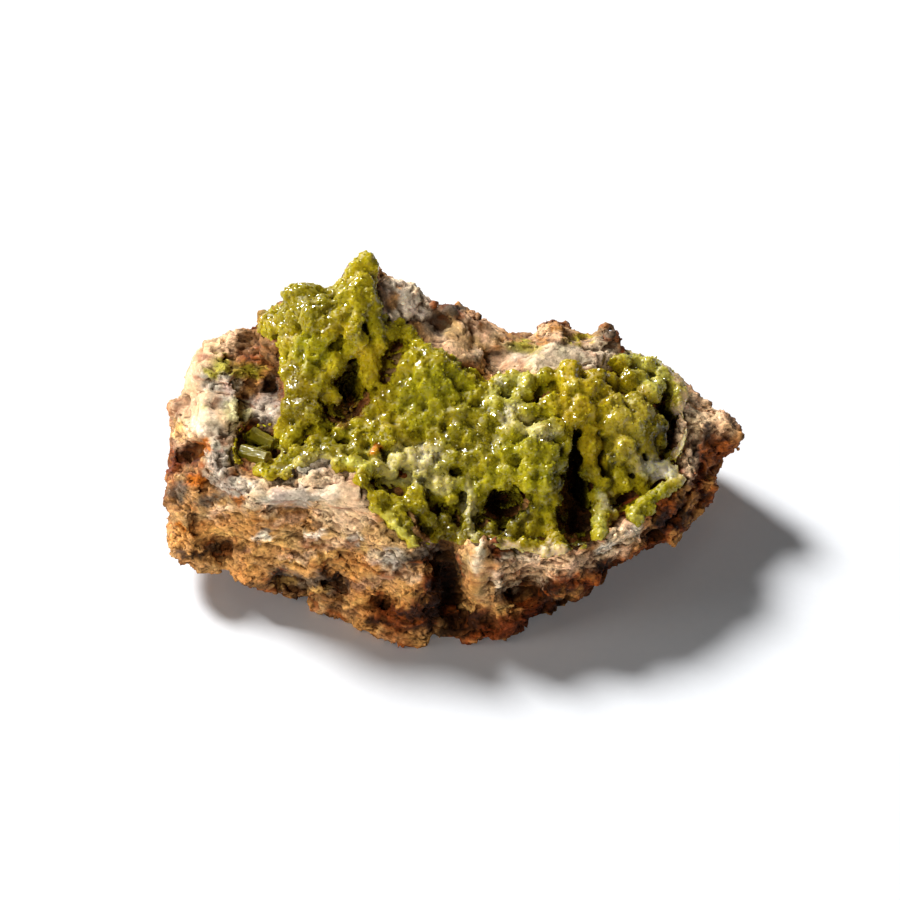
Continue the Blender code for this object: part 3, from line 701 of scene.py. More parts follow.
# %% Flat again where it stands
FOOT_FADE = 0.8 * MM
FOOT_RELIEF = 0.2


def stand_flat(piece):
    """Keeps a piece above the table, and flat where the solid was flat."""
    points = points_of(piece.data)
    high = points[:, 2]
    points[:, 2] = np.where(high < FOOT_FADE / 2, np.maximum(high, 0) * FOOT_RELIEF, high)
    move_points(piece.data, points)


stand_flat(rock)
MOST_TRIANGLES = 190000
thin_to(rock, MOST_TRIANGLES)
stand_flat(rock)
print("finished rock:", triangles_in(rock.data), "triangles")

# %% [markdown]
# ## Stains on the rock
#
# The colours of the rock come from its story: cream and grey vein stone along the rim, rust
# where iron weathered out, a thin yellow-green film in a few places. Near-black paint in the
# clefts, pits, hollows and undercuts is painted shade, and a few brighter patches are painted
# light.
# They lie in patches, so each stain is a colour with a few ovals of the view, painted in order,
# with edges that noise breaks up. The hidden sides, which the picture doesn't show, take the
# same rust and tan from noise alone. The result is one point attribute, `stain`.

# %% Colours of the rock
CREAM = "#c9aa85"
WHITE_CREAM = "#d6bf9e"
PINK_CREAM = "#d6ae84"
GREY = "#ac9e8a"
TAN = "#b8864c"
PALE_TAN = "#b68e5a"
ORANGE = "#b98042"
BRIGHT_ORANGE = "#b96410"
RUST = "#8e4516"
RED_BROWN = "#60290f"
BROWN = "#6e4c2c"
GREY_BROWN = "#5e4f3e"
# Near-black, used as painted shade in clefts, pits, hollows and undercuts
PAINTED_SHADE = "#20110a"
# Near-black, used as painted shade where the crust's cavities are deepest
PAINTED_CAVITY_SHADE = "#120d05"
GREEN_FILM = "#a09424"
PALE_GREEN = "#b9ad78"
OCHRE = "#c09250"
BRIGHT_CREAM = "#f2e0c4"
SPOT_BROWN = "#8c6448"
RIM_TAN = "#f0cca0"
KNOB_TAN = "#cca276"
RED_SPOT = "#a3301a"

ROCK_STAINS = [
    (TAN, [(300, 540, 140, 40, 10), (430, 590, 60, 50, 0), (200, 530, 40, 40, 0)]),
    (RUST, [(686, 492, 42, 70, 15), (640, 560, 40, 16, 30), (560, 596, 34, 18, 0)]),
    (ORANGE, [(250, 526, 44, 8, 10), (360, 566, 44, 9, 10), (372, 606, 44, 20, -20),
              (200, 534, 34, 10, 10), (250, 578, 20, 14, 0), (412, 608, 24, 24, 0)]),
    (PALE_TAN, [(300, 540, 36, 12, 12), (340, 536, 34, 12, 10), (400, 540, 20, 16, 0),
                (200, 515, 26, 8, 8)]),
    (OCHRE, [(275, 545, 16, 8, 15), (330, 556, 20, 6, 15), (222, 530, 14, 6, 0),
             (372, 545, 14, 7, 20), (290, 562, 12, 5, 10)]),
    (PINK_CREAM, [(286, 521, 20, 6, 10), (334, 544, 18, 5, 15), (222, 512, 14, 5, 8),
                  (382, 556, 16, 5, 20), (298, 556, 16, 4, 10), (412, 574, 12, 6, 10)]),
    (SPOT_BROWN, [(352, 546, 12, 5, 20), (392, 572, 16, 6, 15), (310, 540, 10, 4, 10),
                  (246, 552, 8, 5, 0), (368, 582, 14, 5, 10)]),
    (CREAM, [(200, 380, 34, 56, -20), (222, 440, 18, 36, 0), (345, 502, 30, 28, 0),
             (300, 478, 60, 14, 8), (262, 500, 26, 12, 0)]),
    (PALE_TAN, [(390, 532, 26, 16, 30)]),
    (BRIGHT_CREAM, [(316, 532, 10, 5, 10), (262, 536, 8, 5, 0), (356, 538, 8, 6, 0)]),
    (PINK_CREAM, [(212, 345, 30, 16, 35), (185, 405, 14, 34, 0), (182, 438, 14, 12, 0),
                  (345, 520, 26, 12, 0)]),
    (WHITE_CREAM, [(204, 424, 16, 12, 0), (326, 492, 14, 10, 0)]),
    (GREEN_FILM, [(268, 314, 14, 10, 35)]),
    (GREY, [(292, 496, 32, 10, 4), (244, 408, 34, 10, -15), (268, 408, 14, 22, 0),
            (220, 455, 12, 26, 0), (310, 464, 34, 9, 14), (240, 486, 22, 8, 0),
            (394, 556, 20, 10, 0), (432, 550, 12, 8, 0)]),
    (GREEN_FILM, [(226, 366, 20, 10, -15), (212, 372, 8, 8, 0), (250, 366, 14, 10, 0)]),
    (GREY, [(218, 384, 26, 7, -10)]),
    (PALE_GREEN, [(238, 412, 12, 12, 0), (203, 408, 5, 4, 0)]),
    (OCHRE, [(177, 430, 8, 10, 0)]),
    (SPOT_BROWN, [(202, 355, 4, 4, 0), (217, 404, 7, 5, 0), (176, 407, 4, 6, 0),
                  (224, 440, 6, 5, 0), (170, 443, 6, 5, 0)]),
    (BROWN, [(250, 343, 17, 15, 0), (262, 352, 12, 14, 0), (276, 372, 8, 16, 0)]),
    (GREY_BROWN, [(268, 388, 12, 12, 0)]),
    (RED_BROWN, [(188, 455, 17, 12, 25)]),
    # Near-black painted shade in the rusty slot, the grey pit and a small hollow
    (PAINTED_SHADE, [(189, 452, 15, 8, 30), (268, 386, 8, 8, 0), (262, 424, 10, 6, 0)]),
    (BRIGHT_ORANGE, [(205, 447, 5, 8, 20)]),
    (BRIGHT_ORANGE, [(198, 479, 12, 5, 5), (180, 527, 10, 4, 0), (240, 500, 8, 5, 0)]),
    (GREY_BROWN, [(182, 492, 12, 12, 0), (212, 500, 16, 6, 10)]),
    # Painted shade under the foot of the left wall
    (PAINTED_SHADE, [(218, 548, 20, 7, 8), (190, 556, 18, 4, -8)]),
    (GREY_BROWN, [(291, 583, 24, 13, -12), (330, 584, 22, 13, -15)]),
    # Painted shade inside the two shells and below them
    (PAINTED_SHADE, [(284, 578, 12, 5, -12), (334, 577, 12, 5, -15), (300, 594, 20, 4, -8)]),
    (BROWN, [(300, 598, 30, 6, -10), (345, 610, 20, 6, -10), (260, 592, 20, 5, -10)]),
    # The low nodules: rust and red-brown, with near-black painted shade on their lower right side
    # and small orange spots of painted light on their lit upper left
    (RUST, [(395, 618, 22, 12, 0), (430, 600, 12, 26, 0), (380, 602, 10, 8, 0)]),
    (RED_BROWN, [(404, 614, 32, 18, 0), (432, 600, 8, 24, 0)]),
    (PAINTED_SHADE, [(414, 618, 20, 12, 0), (434, 604, 6, 22, 0), (380, 622, 16, 5, -10)]),
    (ORANGE, [(404, 600, 10, 5, 0), (422, 596, 4, 8, 0)]),
    # Painted shade in the cleft and in the pit between the nodules
    (PAINTED_SHADE, [(448, 580, 12, 38, 0), (382, 603, 7, 6, 0)]),
    (PALE_TAN, [(478, 574, 17, 36, 0)]),
    (ORANGE, [(468, 592, 10, 18, 0), (500, 566, 12, 8, 0), (520, 600, 14, 6, 20)]),
    (WHITE_CREAM, [(477, 552, 6, 22, 10), (497, 580, 5, 14, 10)]),
    # Painted shade in the hollow under the ledge
    (PAINTED_SHADE, [(524, 590, 24, 9, 12), (546, 584, 10, 8, 0)]),
    (RED_BROWN, [(490, 622, 34, 16, 8), (462, 618, 16, 16, 0)]),
    # Small orange spots of painted light on the lit edges of the bottom ridges
    (ORANGE, [(500, 612, 16, 5, 15), (472, 606, 14, 5, 10)]),
    (PINK_CREAM, [(548, 564, 54, 13, 5), (622, 538, 30, 16, 38)]),
    (WHITE_CREAM, [(520, 556, 20, 6, 0), (612, 540, 18, 9, 35)]),
    (ORANGE, [(640, 541, 9, 9, 0), (570, 592, 16, 10, 0), (650, 524, 8, 8, 0)]),
    (RED_BROWN, [(566, 584, 12, 7, 0), (690, 470, 16, 40, 10), (668, 534, 20, 12, 30)]),
    # Painted shade in the front rim dip and in cracks of the right wall
    (PAINTED_SHADE, [(600, 568, 12, 6, 35), (664, 520, 10, 12, 30), (698, 448, 7, 18, -10)]),
    (ORANGE, [(690, 505, 12, 26, 20), (678, 540, 10, 8, 20), (712, 480, 6, 10, 0)]),
    (KNOB_TAN, [(722, 424, 20, 14, 25), (702, 420, 14, 14, 0)]),
    (PALE_TAN, [(712, 412, 14, 5, 30), (690, 404, 10, 8, 0)]),
    (RUST, [(722, 448, 18, 14, 0)]),
    # Painted shade in the cracks of the knob
    (PAINTED_SHADE, [(710, 436, 7, 6, 0), (726, 440, 6, 4, 0)]),
    (RED_SPOT, [(683, 421, 4, 3, 0)]),
    # Painted light: the back rock, shaded by the peak, is painted brighter cream
    (BRIGHT_CREAM, [(402, 300, 28, 24, 0)]),
    (WHITE_CREAM, [(412, 284, 10, 10, 0), (398, 318, 16, 10, 0)]),
    (ORANGE, [(397, 288, 5, 4, 0), (392, 300, 4, 8, 0)]),
    (BROWN, [(384, 300, 6, 14, 0)]),
    (PINK_CREAM, [(470, 334, 42, 20, 28)]),
    (BROWN, [(448, 312, 20, 5, 15), (490, 352, 14, 4, 20), (478, 322, 5, 10, 20)]),
    (PALE_TAN, [(455, 330, 16, 10, -30), (474, 345, 14, 8, -20)]),
    (GREY_BROWN, [(434, 324, 14, 14, 0), (452, 308, 16, 6, 10)]),
    (WHITE_CREAM, [(545, 356, 64, 15, 0), (606, 352, 16, 20, 0), (650, 362, 20, 14, -30)]),
    (PINK_CREAM, [(510, 368, 24, 8, 0), (500, 360, 14, 10, 0), (552, 330, 24, 8, 0)]),
    (GREEN_FILM, [(526, 347, 18, 7, 0), (580, 338, 16, 5, 0)]),
    (WHITE_CREAM, [(580, 356, 18, 10, 0)]),
    (ORANGE, [(559, 327, 10, 4, 0), (545, 340, 6, 3, 0)]),
    (GREY_BROWN, [(613, 334, 12, 12, 0)]),
    (PALE_GREEN, [(664, 374, 30, 20, -38), (640, 356, 16, 8, -10), (686, 396, 8, 12, 0)]),
    (CREAM, [(676, 372, 10, 10, -38), (652, 356, 8, 5, 0), (672, 392, 8, 6, 0)]),
    (RIM_TAN, [(691, 434, 13, 44, 0), (702, 408, 14, 10, 20), (716, 414, 14, 8, 25)]),
    (WHITE_CREAM, [(690, 406, 8, 8, 0), (672, 364, 14, 8, -40)]),
    # Painted shade in small hollows of the knob and the right wall
    (PAINTED_SHADE, [(712, 428, 5, 6, 0), (732, 436, 5, 4, 0), (660, 532, 22, 6, 32),
            (684, 512, 8, 14, 20), (706, 494, 5, 10, 10), (701, 452, 4, 10, 5)]),
    (RUST, [(704, 478, 7, 14, 0)]),
    # The front right rim: its own pale tan and cream, painted brighter still as painted light
    (RIM_TAN, [(620, 540, 28, 9, 35)]),
    (BRIGHT_CREAM, [(606, 548, 10, 6, 30), (634, 528, 8, 5, 35)]),
    (CREAM, [(514, 587, 9, 4, 25), (536, 582, 9, 3, 20)]),
    (OCHRE, [(318, 592, 14, 5, 15), (352, 604, 12, 5, 20), (284, 584, 10, 5, 10)]),
    # Painted shade on the undercut foot at the front right, near-black and red-brown, with small
    # ochre spots of painted light where bits of it catch the light
    (PAINTED_SHADE, [(450, 594, 16, 36, 0), (549, 593, 16, 9, 20), (546, 610, 18, 9, 25),
            (464, 622, 26, 12, 5), (432, 608, 10, 26, 0), (421, 556, 15, 7, 0)]),
    (GREY_BROWN, [(404, 560, 7, 8, 0), (421, 548, 14, 3, 0)]),
    (RED_BROWN, [(500, 630, 30, 8, 15), (534, 614, 20, 7, 25)]),
    (OCHRE, [(470, 606, 10, 4, 20), (504, 606, 10, 4, 25), (528, 586, 4, 5, 0),
             (410, 592, 10, 5, 0)]),
    (PAINTED_SHADE, [(452, 632, 18, 6, 0), (560, 604, 18, 6, 25)]),
    # Near-black painted shade on the rock where it shows through the deep cavities of the crust
    (PAINTED_CAVITY_SHADE, [(502, 503, 22, 18, 0), (586, 500, 16, 50, 0), (447, 515, 16, 18, 0),
                   (387, 490, 10, 12, 0), (347, 392, 12, 24, -10), (671, 432, 8, 26, 0)]),
]

# %% Paint
STAIN_DEPTH = 2.0
STAIN_REACH = 1.25
STAIN_EDGE = 0.5
STAIN_SHARE = 0.9
EDGE_NOISE = 2.2 * MM
EDGE_SHIFT_PX = 7
NOISE_FADE = 0.7
NOISE_STEP = 2.0
HIDDEN_STAINS = [RUST, TAN, BROWN, PALE_TAN, RED_BROWN, ORANGE]
HIDDEN_PATCH = 6 * MM
HIDDEN_OFFSET = 50 * MM
HIDDEN_CONTRAST = 2.2
HIDDEN_SHARE = 0.85


def noise_of(points, size, octaves=3):
    """Fractal noise about zero at each point."""
    made = [noise.fractal(Vector(p) / size, NOISE_FADE, NOISE_STEP, octaves) for p in points]
    return np.array(made)


def paint(piece, name, base, stains):
    """Paints stains in order over a base colour, with edges that noise breaks up."""
    points = points_of(piece.data)
    seen = in_view(points)
    front = front_share(piece, points, STAIN_DEPTH)
    shift = [noise_of(points + offset, EDGE_NOISE) for offset in (0, 10 * EDGE_NOISE)]
    seen[:, :2] += np.clip(np.column_stack(shift), -1, 1) * EDGE_SHIFT_PX
    colour = base(points)
    for code, ovals in stains:
        inside = np.zeros(len(points))
        for place in ovals:
            spot = np.clip((STAIN_REACH - oval(seen, *place)) / STAIN_EDGE, 0, 1)
            inside = np.maximum(inside, spot)
        share = (inside * front * STAIN_SHARE)[:, None]
        colour = colour * (1 - share) + linear(code) * share
    store(piece.data, name, "FLOAT_COLOR", np.column_stack((colour, np.ones(len(colour)))))


def hidden_rock(points):
    """The rust and tan of the broken sides, which change every few millimetres."""
    colour = np.tile(linear(HIDDEN_STAINS[0]), (len(points), 1))
    for index, code in enumerate(HIDDEN_STAINS[1:], 1):
        patch = noise_of(points + index * HIDDEN_OFFSET, HIDDEN_PATCH)
        share = np.clip(patch * HIDDEN_CONTRAST, 0, HIDDEN_SHARE)[:, None]
        colour = colour * (1 - share) + linear(code) * share
    return colour


paint(rock, "stain", hidden_rock, ROCK_STAINS)
print("stains on the rock:", len(ROCK_STAINS))

# %% [markdown]
# ## Shader groups that rock and crystals share
#
# Two effects are wanted in every material of the specimen. Stone is never one even colour, so
# `Mottled` varies a colour at two sizes. And `Darkened in hollows` mixes a colour toward a
# darker one by the stored depth; on the crust that darker colour is painted shade in the gaps
# between lumps. As groups they are built once and take each material's own values.


# %% Group and mix helpers
def shader_group(name, inputs):
    """An empty shader group with named inputs that gives one colour."""
    tree = bpy.data.node_groups.new(name, "ShaderNodeTree")
    for label, kind in inputs.items():
        tree.interface.new_socket(label, in_out="INPUT", socket_type="NodeSocket" + kind)
    tree.interface.new_socket("Colour", in_out="OUTPUT", socket_type="NodeSocketColor")
    start = tree.nodes.new("NodeGroupInput")
    end = tree.nodes.new("NodeGroupOutput")
    return tree, start.outputs, end.inputs["Colour"]


def mix(tree, share, first, second):
    """Mixes two colours, each a code or a socket, by a share."""
    node = add(tree, "ShaderNodeMix", {0: share}, data_type="RGBA")
    fill(tree, node.inputs[6], first)
    fill(tree, node.inputs[7], second)
    return node.outputs[2]


def use_group(tree, group, **values):
    """The colour that a group gives for its inputs."""
    node = add(tree, "ShaderNodeGroup", node_tree=group)
    for key, value in values.items():
        fill(tree, node.inputs[key.capitalize()], value)
    return node.outputs["Colour"]


def stored(tree, name, output="Fac"):
    node = add(tree, "ShaderNodeAttribute", attribute_type="GEOMETRY", attribute_name=name)
    return node.outputs[output]


# %% Mottled
PATCH_DETAIL = 5.0
SPECK_DETAIL = 3.0
SPECKS_IN_A_PATCH = 7.0
HUE_SHARE = 0.6
mottled, given, result = shader_group(
    "Mottled", {"Colour": "Color", "Size": "Float", "Change": "Float"}
)
place = add(mottled, "ShaderNodeTexCoord").outputs["Object"]
patches = noise_in(mottled, place, calc(mottled, "DIVIDE", 1.0, given["Size"]), PATCH_DETAIL)
speck_scale = calc(mottled, "DIVIDE", SPECKS_IN_A_PATCH, given["Size"])
specks = noise_in(mottled, place, speck_scale, SPECK_DETAIL)
both = calc(
    mottled,
    "ADD",
    calc(mottled, "MULTIPLY_ADD", patches["Fac"], 2.0, -1.0),
    calc(mottled, "MULTIPLY_ADD", specks["Fac"], 2.0, -1.0),
)
brightness = calc(mottled, "MULTIPLY_ADD", both, given["Change"], 1.0)
hue = scaled(mottled, from_half(mottled, patches["Color"]), given["Change"])
hue = along(mottled, "ADD", scaled(mottled, hue, HUE_SHARE), (1.0, 1.0, 1.0))
varied = scaled(mottled, along(mottled, "MULTIPLY", given["Colour"], hue), brightness)
mottled.links.new(varied, result)

# %% Darkened in hollows
hollow_darkening, given, result = shader_group(
    "Dirt in hollows",
    {"Colour": "Color", "Dirt": "Color", "Depth": "Float", "Reach": "Float", "Most": "Float"},
)
share = ramp(hollow_darkening, given["Depth"], 0.0, given["Reach"], 0.0, given["Most"])
darkened_colour = mix(hollow_darkening, share, given["Colour"], given["Dirt"])
hollow_darkening.links.new(darkened_colour, result)


def darker_in_hollows(tree, colour, depth, reach, dirt, most):
    """A colour darkened in the hollows that one of the stored depths tells of."""
    return use_group(
        tree,
        hollow_darkening,
        colour=colour,
        dirt=dirt,
        depth=stored(tree, depth),
        reach=reach,
        most=most,
    )


def ridge_share(tree, height, most):
    """A share that grows to its most where a point stands out by a height."""
    return ramp(tree, stored(tree, "dip"), 0.0, -height, 0.0, most)


# %% [markdown]
# ## The rock's material
#
# Over the painted stains lie streaks that follow the layers, light ridges in the stain's own
# colour, a darker colour in the hollows, dark and bright specks that fade on the smooth films, and
# a few tiny glassy grains, lightened in colour as a painted glint. The surface is dull, with a
# roughness of 0.88, and its finest grit, too small for the mesh, is a bump.


# %% Host rock material
def principled(name):
    material = bpy.data.materials.new(name)
    material.use_nodes = True
    return material, material.node_tree, material.node_tree.nodes["Principled BSDF"]


def feed(tree, shader, **inputs):
    for key, value in inputs.items():
        fill(tree, shader.inputs[key.replace("_", " ")], value)


def dress(piece, material):
    piece.data.materials.clear()
    piece.data.materials.append(material)


def along_layers(tree, place, stretch):
    """Places in a space that is turned and stretched as the rock's layers are."""
    values = {"Vector": place, "Rotation": LAYER_TURN, "Scale": stretch}
    return add(tree, "ShaderNodeMapping", values).outputs[0]


STREAK_STRETCH = (0.25, 0.4, 1.8)
STREAK_SCALE = 520.0
# Levels of the noise between which a streak fades in, and its least and most share
RUSTY_STREAKS = (0.55, 0.68, 0.0, 0.55)
PALE_STREAKS = (0.44, 0.34, 0.0, 0.5)
# Stored depth, how deep a hollow is where it is darkest, the darker colour and its most share
ROCK_DARKER_HOLLOWS = (("dip", 0.2 * MM, "#5a3418", 0.6), ("deep", 1.6 * MM, "#2e1a0c", 0.7))
GRIT_STRETCH = (0.6, 0.7, 1.3)
GRIT_SCALE = 1900.0
SPECKS_ON_ROCK = 0.85
SPECKS_LOST_ON_FILM = -0.55
DARK_SPECKS = (0.49, 0.38)
BRIGHT_SPECKS = (0.54, 0.64)
DARKER = 0.34
LIGHTER = 1.5
GRAIN_SCALE = 2600.0
GLASSY_SHARE = 0.05
# How much lighter a glassy grain is painted, as a painted glint
PAINTED_GLINT = 2.5
PAINTED_GLINT_SHARE = 0.3
DULL_AND_GLASSY = (0.88, 0.4)
rock_finish, tree, shader = principled("stained host rock")
place = add(tree, "ShaderNodeTexCoord").outputs["Object"]
colour = stored(tree, "stain", "Color")
streaks = noise_in(tree, along_layers(tree, place, STREAK_STRETCH), STREAK_SCALE, 5.0)["Fac"]
colour = mix(tree, ramp(tree, streaks, *RUSTY_STREAKS), colour, RUST)
colour = mix(tree, ramp(tree, streaks, *PALE_STREAKS), colour, scaled(tree, colour, LIGHTER))
colour = use_group(tree, mottled, colour=colour, size=2.4 * MM, change=0.42)
ridges = ridge_share(tree, 0.12 * MM, 0.3)
colour = mix(tree, ridges, colour, scaled(tree, colour, LIGHTER))
for dirt in ROCK_DARKER_HOLLOWS:
    colour = darker_in_hollows(tree, colour, *dirt)
gritty = along_layers(tree, place, GRIT_STRETCH)
fine = noise_in(tree, gritty, GRIT_SCALE, 4.0, Roughness=0.65)["Fac"]
film = stored(tree, "smooth")
coarse = calc(tree, "MULTIPLY_ADD", film, SPECKS_LOST_ON_FILM, SPECKS_ON_ROCK)
for edges, brightness in ((DARK_SPECKS, DARKER), (BRIGHT_SPECKS, LIGHTER)):
    specks = calc(tree, "MULTIPLY", ramp(tree, fine, *edges), coarse)
    colour = mix(tree, specks, colour, scaled(tree, colour, brightness))
grain = red_of(tree, cells_in(tree, place, GRAIN_SCALE)["Color"])
glassy = calc(tree, "GREATER_THAN", grain, 1 - GLASSY_SHARE)
# Painted glint: the glassy grains are painted lighter
painted_glints = calc(tree, "MULTIPLY", glassy, PAINTED_GLINT_SHARE)
colour = mix(tree, painted_glints, colour, scaled(tree, colour, PAINTED_GLINT))
bump = add(
    tree, "ShaderNodeBump", {"Strength": 1.0, "Distance": 0.3 * MM, "Height": fine}
).outputs["Normal"]
feed(
    tree,
    shader,
    Base_Color=colour,
    Roughness=ramp(tree, glassy, 0.0, 1.0, *DULL_AND_GLASSY),
    Normal=bump,
    IOR=1.5,
)
dress(rock, rock_finish)

# %% [markdown]
# ## The crust of pyromorphite
#
# The crust is botryoidal: rounded lumps like grapes, each a bundle of crystals, grown over one
# another until only dark gaps are left between them. From near by, a lump of pyromorphite is
# not a ball but a stubby six-sided barrel with worn edges, and so it is here. Each is listed
# as it shows in the view, in pixels: across, down, radius. A ray from the eye finds how far
# forward it sits on the crust's solid.

# %% The lumps
LUMPS = {
    "peak": [
        (366, 260, 9), (358, 268, 9), (372, 267, 7), (353, 277, 10), (362, 284, 11),
        (342, 287, 8), (352, 295, 11), (367, 296, 10), (374, 306, 8), (343, 299, 9),
        (358, 306, 10), (341, 317, 10), (357, 320, 8), (352, 331, 10), (371, 317, 8),
        (376, 327, 9), (384, 332, 7),
    ],
    "mound": [
        (303, 296, 14), (291, 294, 10), (315, 294, 9), (323, 302, 8), (307, 307, 9),
        (292, 304, 9), (313, 320, 13), (295, 317, 9), (284, 317, 9), (269, 319, 8),
        (272, 327, 8), (284, 330, 8), (266, 331, 6), (326, 309, 8), (324, 324, 8),
        (330, 335, 9), (290, 344, 8), (283, 341, 6), (265, 322, 6), (276, 314, 6),
        (262, 327, 6),
    ],
    "left fingers": [
        (318, 344, 10), (303, 344, 10), (313, 356, 10), (332, 363, 14), (301, 359, 12),
        (295, 374, 12), (309, 374, 12), (297, 389, 12), (313, 387, 12), (322, 381, 11),
        (328, 393, 10), (336, 398, 7), (303, 405, 12), (313, 413, 10), (292, 409, 10),
        (288, 422, 9), (296, 432, 8), (282, 432, 8), (288, 442, 8), (303, 421, 8),
    ],
    "hanging finger": [
        (378, 344, 10), (372, 353, 11), (370, 364, 11), (368, 374, 10), (370, 382, 8),
        (360, 342, 9), (351, 350, 8), (391, 333, 9), (409, 333, 8), (400, 323, 6),
    ],
    "middle ridge": [
        (418, 347, 9), (427, 355, 10), (414, 359, 10), (437, 362, 10), (406, 366, 9),
        (422, 370, 10), (437, 374, 9), (447, 368, 10), (460, 378, 9), (470, 383, 9),
        (444, 385, 10), (452, 398, 9),
    ],
    "slope": [
        (398, 382, 9), (414, 380, 9), (429, 386, 10), (389, 393, 9), (406, 393, 9),
        (422, 397, 9), (437, 402, 10), (380, 403, 8), (397, 406, 9), (414, 409, 9),
        (370, 412, 8), (385, 418, 9), (402, 422, 9), (427, 421, 9), (444, 416, 8),
        (434, 434, 9), (414, 424, 9), (401, 434, 9), (389, 438, 12), (370, 428, 8),
    ],
    "band": [
        (357, 424, 8), (341, 431, 8), (357, 437, 8), (322, 435, 7), (315, 443, 8),
        (330, 445, 8), (303, 464, 8), (297, 454, 9), (313, 455, 9), (328, 453, 9),
        (341, 453, 9), (357, 449, 9), (284, 464, 9), (288, 474, 6), (272, 475, 7),
        (263, 470, 8), (341, 464, 9), (355, 464, 9), (366, 470, 9), (378, 468, 9),
        (362, 481, 8), (375, 455, 7),
    ],
    "middle": [
        (444, 447, 10), (457, 441, 9), (432, 449, 9), (452, 459, 10), (465, 459, 9),
        (411, 459, 11), (427, 465, 9), (398, 460, 9), (439, 470, 9), (421, 478, 9),
        (391, 472, 8), (460, 416, 12), (457, 429, 10), (472, 419, 12), (472, 439, 12),
        (485, 424, 11), (495, 418, 11), (483, 452, 11), (488, 463, 10), (478, 470, 9),
        (488, 480, 9), (480, 393, 10), (493, 391, 9), (493, 406, 10), (451, 484, 9),
        (464, 482, 8), (438, 487, 8),
    ],
    "front left knobs": [
        (416, 493, 9), (408, 504, 9), (420, 506, 8), (399, 510, 8), (393, 502, 8),
        (380, 497, 8), (376, 505, 7), (402, 518, 8), (408, 524, 7), (392, 518, 7),
        (385, 513, 6), (394, 523, 6), (403, 532, 6), (412, 541, 6), (374, 499, 6),
    ],
    "front floor": [
        (451, 497, 8), (445, 520, 7), (440, 531, 6), (451, 529, 6), (491, 527, 6),
        (495, 540, 6), (508, 542, 6), (468, 514, 6), (468, 525, 6), (472, 500, 6),
        (480, 489, 9), (478, 500, 8), (478, 508, 7), (430, 519, 7), (462, 538, 6),
        (480, 536, 6), (522, 543, 7), (535, 546, 7),
    ],
    "back balls": [
        (503, 383, 10), (513, 379, 9), (528, 383, 10), (526, 394, 8), (545, 376, 9),
        (518, 395, 7), (515, 405, 8),
    ],
    "blades": [
        (506, 406, 7), (511, 418, 7), (516, 432, 9), (526, 413, 9), (534, 410, 7),
        (552, 406, 12), (564, 404, 8), (567, 418, 7), (539, 434, 12), (554, 431, 12),
        (529, 449, 12), (546, 452, 12), (562, 444, 8), (544, 467, 11), (559, 464, 9),
        (529, 467, 9), (508, 434, 10), (503, 452, 12), (506, 470, 10), (503, 482, 9),
        (518, 477, 8), (529, 485, 9), (544, 485, 10), (554, 483, 8), (566, 432, 6),
    ],
    "lower columns": [
        (540, 499, 9), (554, 499, 8), (535, 510, 8), (548, 514, 8), (523, 518, 8),
        (514, 527, 8), (531, 527, 8), (554, 540, 9), (560, 548, 7), (544, 550, 7),
        (550, 528, 8),
    ],
    "amber": [
        (569, 373, 13), (572, 388, 14), (590, 390, 14), (580, 403, 13), (597, 378, 10),
        (605, 393, 9), (587, 414, 12), (574, 418, 10), (603, 408, 10), (590, 427, 9),
        (590, 445, 12), (590, 472, 10), (590, 459, 7),
    ],
    "right mass": [
        (615, 403, 10), (620, 419, 12), (612, 424, 10), (636, 403, 11), (643, 413, 12),
        (633, 424, 12), (648, 429, 11), (651, 393, 12), (638, 434, 11), (646, 444, 9),
        (625, 444, 12), (633, 459, 9), (620, 454, 9), (619, 475, 8),
        (625, 485, 8), (661, 424, 9), (662, 441, 8), (613, 489, 8), (605, 485, 8),
    ],
    "back right": [
        (625, 362, 9), (631, 378, 10), (612, 380, 8), (643, 378, 8), (651, 363, 8),
        (666, 373, 9), (678, 383, 9), (683, 394, 9), (681, 403, 7), (661, 384, 8),
        (637, 358, 6),
    ],
    "right foot": [
        (598, 521, 8), (598, 533, 8), (598, 508, 8), (596, 497, 8), (613, 514, 6),
        (632, 512, 8), (643, 504, 8), (653, 497, 7), (664, 491, 7), (673, 486, 6),
        (636, 520, 7), (647, 510, 7), (653, 470, 9), (664, 468, 8), (643, 473, 8),
        (653, 453, 7), (672, 477, 7), (640, 484, 7),
    ],
}

# %% Six-sided crystals that stand out
# Middle across and down, length, half width, turn in degrees, all but the turn in pixels
PRISMS = {
    "pocket prism upper": (262, 439, 26, 8, -25),
    "pocket prism lower": (256, 455, 27, 8.5, -15),
    "pocket plate": (236, 450, 36, 4.5, 82),
}
SMALL_PRISMS = [(264, 449, 16, 4, 20), (248, 440, 12, 4, 110), (272, 457, 12, 4, 50)]
print("lumps:", sum(len(group) for group in LUMPS.values()))
print("prisms:", len(PRISMS) + len(SMALL_PRISMS))

# %% [markdown]
# Each lump carries a brood of smaller ones, a third to a little over half its size, on the side
# that faces out. That gives the grape-like skin without placing thousands by hand. A large lump
# has three, a small one only one. The lower of the two balls that hang in the long cavity and
# its neck are smooth, so they have none. Ridges are rows of lumps along a line, and a few
# fillings close gaps that the solid has and the real crust doesn't.

# %% Ridges
# Lines of pixels, with a radius in pixels
RIDGES = {
    "grey stem": ([(465, 470), (470, 490), (474, 510), (475, 540)], 3),
    "etched column": ([(602, 492), (603, 510), (599, 528), (597, 542)], 6),
    "front right ridge": ([(681, 480), (662, 490), (644, 503), (629, 519)], 5.5),
    "saddle of the blade": ([(503, 396), (508, 410), (514, 424), (526, 432), (540, 430), (553, 421),
                             (562, 408), (565, 396)], 4.5),
    "bright edge": ([(566, 403), (568, 425), (567, 454)], 4),
    "left column edge": ([(283, 352), (285, 380), (287, 410)], 5),
    "right mass edge": ([(610, 398), (606, 420), (612, 445), (610, 462)], 5),
}

